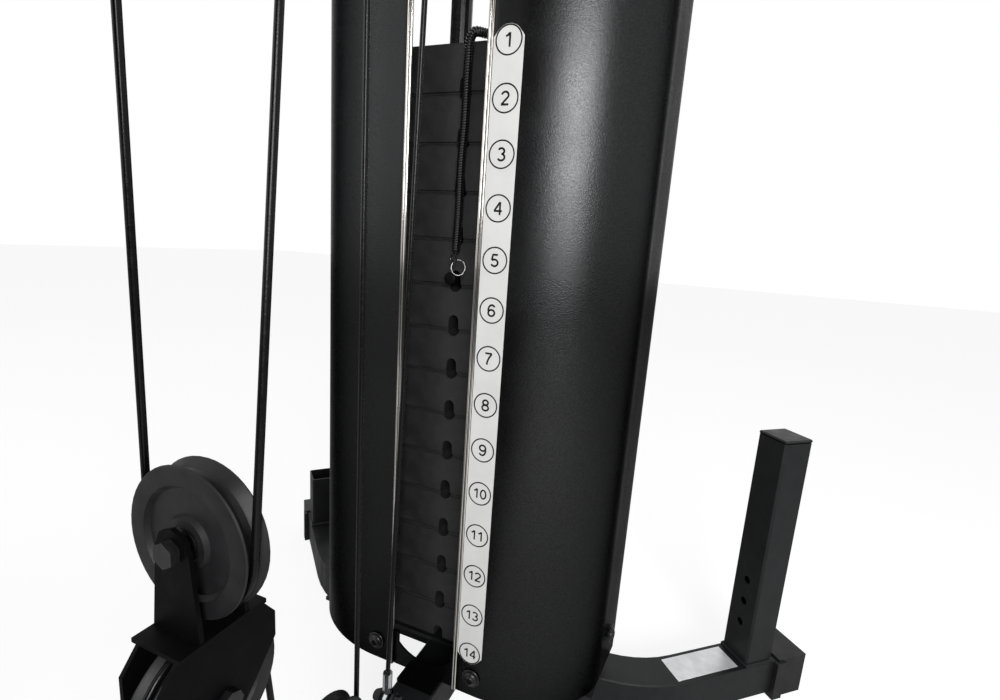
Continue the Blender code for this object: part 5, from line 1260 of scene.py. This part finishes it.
class GYM_OT_pads(bpy.types.Operator):
    """Fill the seat and the back pad, and sew their edges"""

    bl_idname = "multigym.pads"
    bl_label = "Pads"

    def execute(self, context):
        soft = context.scene.gym_soft
        self.pad("seat", SEAT_LOW, SEAT_HIGH, 2, 1, soft)
        self.pad("back", BACK_LOW, BACK_HIGH, 1, -1, soft)
        return {"FINISHED"}

    def pad(self, word, low, high, axis, facing, soft):
        """Cushion on a board: axis is the thickness, facing the side that the user leans on."""
        board_low, board_high = low.copy(), high.copy()
        for i in range(3):
            if i != axis:
                board_low[i] += BOARD_INSET
                board_high[i] -= BOARD_INSET
        if facing > 0:
            board_high[axis] = low[axis] + BOARD_THICKNESS
        else:
            board_low[axis] = high[axis] - BOARD_THICKNESS
        board = rounded_box(f"{word}_board", board_low, board_high, 0.003)
        carried(f"{word}_board", board, "moulded_nylon", "frame")
        piece = self.cushion(word, low, high, axis, facing, soft)
        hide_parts(f"{word}_pad")
        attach(piece, "frame")
        self.welt(word, piece, low, high, axis, facing)

    def cushion(self, word, low, high, axis, facing, soft):
        """Rounded block of cloth, drawn in at its sides and filled."""
        name = f"{word}_cushion"
        slim = soft.swell * 0.55
        seat_depth = 0.009
        body_low, body_high = low.copy(), high.copy()
        for i in range(3):
            body_low[i] += slim
            body_high[i] -= slim
        if facing > 0:
            body_low[axis] = low[axis] + seat_depth
        else:
            body_high[axis] = high[axis] - seat_depth
        mesh = rounded_box(name, body_low, body_high, 0.016, 4)
        piece = add_piece(name, mesh, "grained_leather")
        grid = piece.modifiers.new("Grid", "REMESH")
        grid.mode = "VOXEL"
        grid.voxel_size = soft.voxel
        apply_modifiers(piece)
        back = body_low[axis] if facing > 0 else body_high[axis]
        self.draw_in(piece, low, high, axis)
        self.fill(piece, axis, back, soft)
        smooth = piece.modifiers.new("Smooth", "SUBSURF")
        smooth.levels = 1
        smooth.render_levels = 1
        apply_modifiers(piece)
        piece.data.materials.clear()
        piece.data.materials.append(finish("grained_leather"))
        piece.data.shade_smooth()
        return piece

    def draw_in(self, piece, low, high, axis):
        """Sides that pull in a little between the corners, and a soft unevenness."""
        centre = (low + high) / 2
        half = (high - low) / 2
        flat = [i for i in range(3) if i != axis]
        for vert in piece.data.vertices:
            u, v = ((vert.co[i] - centre[i]) / half[i] for i in flat)
            vert.co[flat[0]] -= u**5 * half[flat[0]] * 0.020 * (1 - v * v)
            vert.co[flat[1]] -= v**5 * half[flat[1]] * 0.016 * (1 - u * u)
            vert.co[axis] += 0.0008 * noise.noise(vert.co * 9.0)

    def fill(self, piece, axis, back, soft):
        """Cloth filled with air, held at its board, then limited in how far it moved."""
        rest = [vert.co.copy() for vert in piece.data.vertices]
        held = piece.vertex_groups.new(name="board")
        rim, frames = 0.008, 20
        held.add([i for i, co in enumerate(rest) if abs(co[axis] - back) < rim], 1.0, "REPLACE")
        cloth = piece.modifiers.new("Fill", "CLOTH")
        cloth.settings.quality = 4
        cloth.settings.mass = 0.3
        cloth.settings.use_pressure = True
        cloth.settings.uniform_pressure_force = soft.pressure
        cloth.settings.effector_weights.gravity = 0.0
        cloth.settings.vertex_group_mass = held.name
        cloth.collision_settings.use_collision = False
        scene = bpy.context.scene
        for step in range(1, frames + 1):
            scene.frame_set(step)
        apply_modifiers(piece)
        scene.frame_set(1)
        for vert, start in zip(piece.data.vertices, rest):
            move = vert.co - start
            if move.length > soft.swell:
                vert.co = start + move.normalized() * soft.swell

    def welt(self, word, cushion, low, high, axis, facing):
        """Sewn cord round the pad's edge, laid on the filled cushion."""
        drop, corner, inset, spacing, radius = 0.017, 0.020, 0.0035, 0.012, 0.0024
        flat = [i for i in range(3) if i != axis]
        front = high[axis] - drop if facing > 0 else low[axis] + drop
        centre = (low + high) / 2
        half = [(high[i] - low[i]) / 2 - inset for i in flat]
        outline = []
        for quarter, (sx, sy) in enumerate(((1, 1), (-1, 1), (-1, -1), (1, -1))):
            middle = (sx * (half[0] - corner), sy * (half[1] - corner))
            outline += arc(middle, corner, quarter * math.pi / 2, (quarter + 1) * math.pi / 2, 8)
        surface = BVHTree.FromPolygons(
            [vert.co for vert in cushion.data.vertices],
            [face.vertices for face in cushion.data.polygons],
        )
        points = []
        for (u, v), end in zip(outline, outline[1:] + outline[:1]):
            steps = max(1, round(math.dist((u, v), end) / spacing))
            for i in range(steps):
                inward = Vector((0.0, 0.0, 0.0))
                inward[flat[0]] = -(u + (end[0] - u) * i / steps)
                inward[flat[1]] = -(v + (end[1] - v) * i / steps)
                start = centre.copy()
                start[axis] = front
                hit = surface.ray_cast(start - inward * 1.3, inward.normalized())[0]
                if hit is None:
                    raise RuntimeError(f"The {word} welt misses its cushion")
                points.append(hit)
        count = len(points)
        for _round in range(3):
            points = [
                (points[i - 1] + 2 * points[i] + points[(i + 1) % count]) / 4 for i in range(count)
            ]
        mesh = tube_along(f"{word}_welt", points, radius, 8, True)
        carried(f"{word}_welt", mesh, "grained_leather", "frame")


class GYM_OT_rollers(bpy.types.Operator):
    """Make the four foam rollers with rounded ends and the caps on their bars"""

    bl_idname = "multigym.rollers"
    bl_label = "Foam rollers"

    def execute(self, context):
        for node, body in (
            ("leg_roller_left", "leg"),
            ("leg_roller_right", "leg"),
            ("knee_roller_left", "frame"),
            ("knee_roller_right", "frame"),
        ):
            low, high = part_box(node)
            self.roller(node, body, low, high)
        return {"FINISHED"}

    def roller(self, node, body, low, high):
        """Foam with rounded ends and small dents, and the cap on its bar."""
        centre = (low + high) / 2
        half = (high.x - low.x) / 2
        radius = (high.z - low.z) / 2
        inner, flat = radius - FOAM_ROUNDING, half - FOAM_ROUNDING
        profile = [(0.0108, half - 0.003), (0.0150, half - 0.0004), (inner, half)]
        for angle in (0.4, 0.8, 1.2, 1.57):
            around = inner + FOAM_ROUNDING * math.sin(angle)
            profile.append((around, flat + FOAM_ROUNDING * math.cos(angle)))
        end = list(profile)
        for i in range(1, 8):
            share = i / 8
            dent = 0.0006 * math.sin(math.pi * share) + 0.0003 * math.sin(9 * share)
            profile.append((radius - dent, flat * (1 - 2 * share)))
        profile += mirrored(end)
        mesh = lathe(f"{node}_foam", profile, centre, (1, 0, 0), 48)
        piece = carried(f"{node}_foam", mesh, "closed_foam", body, node)
        side = 1 if centre.x > 0 else -1
        tip = centre.x + side * (half + 0.0062)
        cap = [(0.0, 0.0034), (0.0060, 0.0030), (0.0100, 0.0014), (0.0122, -0.0006)]
        cap += [(0.0122, -0.0054), (0.0104, -0.0054), (0.0104, 0.0), (0.0, 0.0)]
        place = (tip - side * 0.0002, centre.y, centre.z)
        mesh = lathe(f"{node}_cap", cap, place, (side, 0, 0), 32)
        carried(f"{node}_cap", mesh, "moulded_nylon", body)


class GYM_OT_grips(bpy.types.Operator):
    """Make the ribbed rubber grips of the press arms and of the lat bar"""

    bl_idname = "multigym.grips"
    bl_label = "Grips"

    def execute(self, context):
        bend_x, bar_run, bar_half, length = 0.340, 0.170, 0.0106, 0.125
        drop = math.radians(32.0)
        for side, word in SIDES:
            start = Vector((side * 0.148, -0.664, 1.080))
            end = Vector((side * 0.262, -0.664, 1.080))
            self.grip(f"press_grip_{word}", start, end, "press")
            direction = Vector((side * math.cos(drop), 0.0, -math.sin(drop)))
            tip_x = side * (bend_x + bar_run * math.cos(drop))
            tip = Vector((tip_x, LAT_Y, LAT_LOW.z + bar_half)) - direction * 0.0012
            self.grip(f"lat_grip_{word}", tip - direction * length, tip, "lat_handle")
        return {"FINISHED"}

    def grip(self, name, start, end, body):
        """Sleeve with a collar at its start and ribs along its length."""
        length = (end - start).length
        outer = GRIP_BORE + 0.0034
        pitch = 0.0046
        profile = [(GRIP_BORE, 0.0), (outer + 0.0016, 0.0), (outer + 0.0022, 0.0012)]
        profile.append((outer + 0.0016, 0.0036))
        for i in range(int((length - 0.012) / pitch)):
            base = 0.006 + i * pitch
            profile += [(outer - 0.0007, base), (outer, base + 0.0010)]
            profile += [(outer, base + 0.0034), (outer - 0.0007, base + 0.0044)]
        profile += [(outer - 0.0006, length - 0.0030), (outer - 0.0020, length)]
        profile.append((GRIP_BORE, length))
        mesh = lathe(name, profile, start, end - start, 28)
        carried(name, mesh, "matt_rubber", body)


class GYM_OT_trimmings(bpy.types.Operator):
    """Make the tube plugs, weld beads and the bare plate on the base"""

    bl_idname = "multigym.trimmings"
    bl_label = "Plugs, welds and bare plate"

    def execute(self, context):
        self.plugs()
        self.bare_plate()
        self.post_weld(1)
        self.post_weld(-1)
        self.beam_welds()
        return {"FINISHED"}

    def plugs(self):
        """Plastic plugs in the open ends of the top beam and of the leg lever."""
        half, depth = 0.0248, 0.003
        low_z, high_z = TOP_BEAM_HIGH.z - 0.0498, TOP_BEAM_HIGH.z - 0.0002
        front, rear = TOP_BEAM_LOW.y, TOP_BEAM_HIGH.y
        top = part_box("leg_lever")[1].z
        for name, low, high, body in (
            ("beam_plug_front", (-half, front - depth, low_z), (half, front, high_z), "frame"),
            ("beam_plug_rear", (-half, rear, low_z), (half, rear + depth, high_z), "frame"),
            ("lever_plug", (*LEVER_LOW, 0.1086), (*LEVER_HIGH, 0.1119), "leg"),
            ("lever_top_plug", (*LEVER_LOW, top), (*LEVER_HIGH, top + 0.0032), "leg"),
        ):
            mesh = rounded_box(name, low, high, 0.0012, 2)
            carried(name, mesh, "moulded_nylon", body)

    def bare_plate(self):
        """Silver sheet on the right wing's top, with nothing on it."""
        low, high = (-0.018, -0.019, 0.00005), (0.080, 0.019, 0.00030)
        mesh = rounded_box("base_plate_bare", low, high, 0.0001, 1)
        mesh.transform(wing_place(1))
        carried("base_plate_bare", mesh, "bare_label", "frame")

    def bead(self, name, points, radius, body):
        """Weld bead: a chain of overlapping ripples along a closed line."""
        path = []
        for start, end in zip(points, points[1:] + points[:1]):
            steps = max(2, round((end - start).length / 0.0012))
            path += [start.lerp(end, i / steps) for i in range(steps)]
        sides = 8
        mesh = tube_along(name, path, radius, sides, True)
        for index, vert in enumerate(mesh.vertices):
            wave = math.sin(index // sides * 1.9)
            vert.co += Vector((0, 0, 1)) * wave * radius * 0.12
        carried(name, mesh, "powder_coat", body)

    def post_weld(self, side):
        """Bead round the foot of the right wing's post or of the left wing's socket."""
        place = wing_place(side)
        half = POST_SIDE / 2 + 0.0004
        near, far = POST_ALONG, POST_ALONG + POST_SIDE
        corners = [(near, -half), (far, -half), (far, half), (near, half)]
        points = [place @ Vector((x, y, 0.0014)) for x, y in corners]
        self.bead("post_weld_right" if side > 0 else "post_weld_left", points, 0.0022, "frame")

    def beam_welds(self):
        """Beads round the main beam where it meets both bases."""
        half, low, high = 0.0252, 0.0258, 0.0762 - 0.003
        corners = [(-half, low), (half, low), (half, high), (-half, high)]
        for name, y in (("beam_weld_rear", 0.1148), ("beam_weld_front", -1.0548)):
            points = [Vector((x, y, z)) for x, z in corners]
            self.bead(name, points, 0.0020, "frame")


# Stage


class GYM_OT_stage(bpy.types.Operator):
    """Make the floor, the lamps, the surrounding light and the camera"""

    bl_idname = "multigym.stage"
    bl_label = "Stage"

    def execute(self, context):
        settings = context.scene.gym_stage
        key, fill = settings.key_power, settings.fill_power
        self.floor(settings)
        self.surroundings(settings)
        self.lamp("key_light", (1.04, -1.72, 1.14), (0.15, 0.03, 0.75), key, (0.96, 0.82))
        self.lamp("fill_light", (-1.9, -1.9, 1.5), (0.0, 0.0, 0.6), fill, (1.2, 1.8))
        self.lamp("top_light", (0.3, -0.4, 3.4), (0.0, -0.4, 0.3), fill * 1.6, (2.2, 2.2))
        self.camera(context, settings)
        context.scene.view_settings.view_transform = "Standard"
        return {"FINISHED"}

    def floor(self, settings):
        """Pale floor that keeps the shadow and shows lighter to the camera than it lights."""
        half_size, glow_strength, glow_share = 12.0, 1.40, 0.60
        mesh = bpy.data.meshes.new("floor")
        shape = bmesh.new()
        bmesh.ops.create_grid(shape, x_segments=8, y_segments=8, size=half_size)
        shape.to_mesh(mesh)
        shape.free()
        floor = bpy.data.objects.new("floor", mesh)
        bpy.context.scene.collection.objects.link(floor)
        material = new_finish("pale_floor", settings.floor_color, 0.9, specular=0.1)
        dark, light = tones(settings.floor_color, 0.03)
        vary_color(material, surface_noise(material, 350.0, 4.0), dark, light)
        nodes, links = material.node_tree.nodes, material.node_tree.links
        glow = nodes.new("ShaderNodeEmission")
        glow.inputs["Color"].default_value = (1.0, 1.0, 1.0, 1.0)
        glow.inputs["Strength"].default_value = glow_strength
        rays = nodes.new("ShaderNodeLightPath")
        share = nodes.new("ShaderNodeMath")
        share.operation = "MULTIPLY"
        share.inputs[1].default_value = glow_share
        blend = nodes.new("ShaderNodeMixShader")
        links.new(rays.outputs["Is Camera Ray"], share.inputs[0])
        links.new(share.outputs["Value"], blend.inputs["Fac"])
        links.new(nodes["Principled BSDF"].outputs["BSDF"], blend.inputs[1])
        links.new(glow.outputs["Emission"], blend.inputs[2])
        links.new(blend.outputs["Shader"], nodes["Material Output"].inputs["Surface"])
        mesh.materials.append(material)

    def surroundings(self, settings):
        """World that is white to the camera and in gloss, and dim on matt surfaces."""
        world = bpy.data.worlds.new("studio")
        bpy.context.scene.world = world
        world.use_nodes = True
        nodes, links = world.node_tree.nodes, world.node_tree.links
        background = nodes["Background"]
        background.inputs["Color"].default_value = (1.0, 1.0, 1.0, 1.0)
        rays = nodes.new("ShaderNodeLightPath")
        seen = nodes.new("ShaderNodeMath")
        seen.operation = "MAXIMUM"
        shown = nodes.new("ShaderNodeMath")
        shown.operation = "MAXIMUM"
        strength = nodes.new("ShaderNodeMapRange")
        strength.inputs["To Min"].default_value = settings.ambient
        strength.inputs["To Max"].default_value = 1.0
        links.new(rays.outputs["Is Camera Ray"], seen.inputs[0])
        links.new(rays.outputs["Is Glossy Ray"], seen.inputs[1])
        links.new(seen.outputs["Value"], shown.inputs[0])
        links.new(rays.outputs["Is Transmission Ray"], shown.inputs[1])
        links.new(shown.outputs["Value"], strength.inputs["Value"])
        links.new(strength.outputs["Result"], background.inputs["Strength"])

    def lamp(self, name, place, target, power, size):
        """Rectangular soft box that faces its target."""
        data = bpy.data.lights.new(name, "AREA")
        data.shape = "RECTANGLE"
        data.size, data.size_y = size
        data.energy = power
        lamp = bpy.data.objects.new(name, data)
        bpy.context.scene.collection.objects.link(lamp)
        lamp.location = place
        lamp.rotation_euler = (Vector(target) - Vector(place)).to_track_quat("-Z", "Y").to_euler()

    def camera(self, context, settings):
        """The photograph's camera: placed, turned and rolled as it was held."""
        place = (0.2694, -0.4855, 0.6029)
        yaw, pitch, roll = (math.radians(value) for value in (21.87, 11.3, -3.92))
        level = math.cos(pitch)
        forward = Vector((-math.sin(yaw) * level, math.cos(yaw) * level, -math.sin(pitch)))
        right = Vector((math.cos(yaw), math.sin(yaw), 0.0))
        down = forward.cross(right)
        right_rolled = right * math.cos(roll) + down * math.sin(roll)
        down_rolled = down * math.cos(roll) - right * math.sin(roll)
        data = bpy.data.cameras.new("photo_camera")
        data.sensor_width = 36.0
        data.lens = settings.lens
        data.clip_start = 0.02
        camera = bpy.data.objects.new("photo_camera", data)
        context.scene.collection.objects.link(camera)
        turn = Matrix((right_rolled, -down_rolled, -forward)).transposed().to_4x4()
        camera.matrix_world = Matrix.Translation(place) @ turn
        context.scene.camera = camera


class GYM_PT_panel(bpy.types.Panel):
    """Panel in the 3D view's sidebar"""

    bl_idname = "GYM_PT_panel"
    bl_label = "Multi gym"
    bl_space_type = "VIEW_3D"
    bl_region_type = "UI"
    bl_category = "Multi gym"

    def draw(self, context):
        layout = self.layout
        for group in SETTINGS:
            settings = getattr(context.scene, group)
            box = layout.box()
            for name in settings.__annotations__:
                box.prop(settings, name)
        for operator in OPERATORS:
            layout.operator(operator.bl_idname)


SETTINGS = {
    "gym_finish": GymFinishSettings,
    "gym_soft": GymSoftSettings,
    "gym_detail": GymDetailSettings,
    "gym_stage": GymStageSettings,
}
OPERATORS = (
    GYM_OT_finishes,
    GYM_OT_cover,
    GYM_OT_trims,
    GYM_OT_plates,
    GYM_OT_numbers,
    GYM_OT_wheels,
    GYM_OT_fasteners,
    GYM_OT_cables,
    GYM_OT_tether,
    GYM_OT_pads,
    GYM_OT_rollers,
    GYM_OT_grips,
    GYM_OT_trimmings,
    GYM_OT_stage,
)


def register():
    for group, settings in SETTINGS.items():
        bpy.utils.register_class(settings)
        setattr(bpy.types.Scene, group, PointerProperty(type=settings))
    for operator in OPERATORS:
        bpy.utils.register_class(operator)
    bpy.utils.register_class(GYM_PT_panel)


def unregister():
    bpy.utils.unregister_class(GYM_PT_panel)
    for operator in reversed(OPERATORS):
        bpy.utils.unregister_class(operator)
    for group, settings in reversed(SETTINGS.items()):
        delattr(bpy.types.Scene, group)
        bpy.utils.unregister_class(settings)


def main():
    register()
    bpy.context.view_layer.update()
    for operator in OPERATORS:
        group, name = operator.bl_idname.split(".")
        getattr(getattr(bpy.ops, group), name)()


if __name__ == "__main__":
    main()
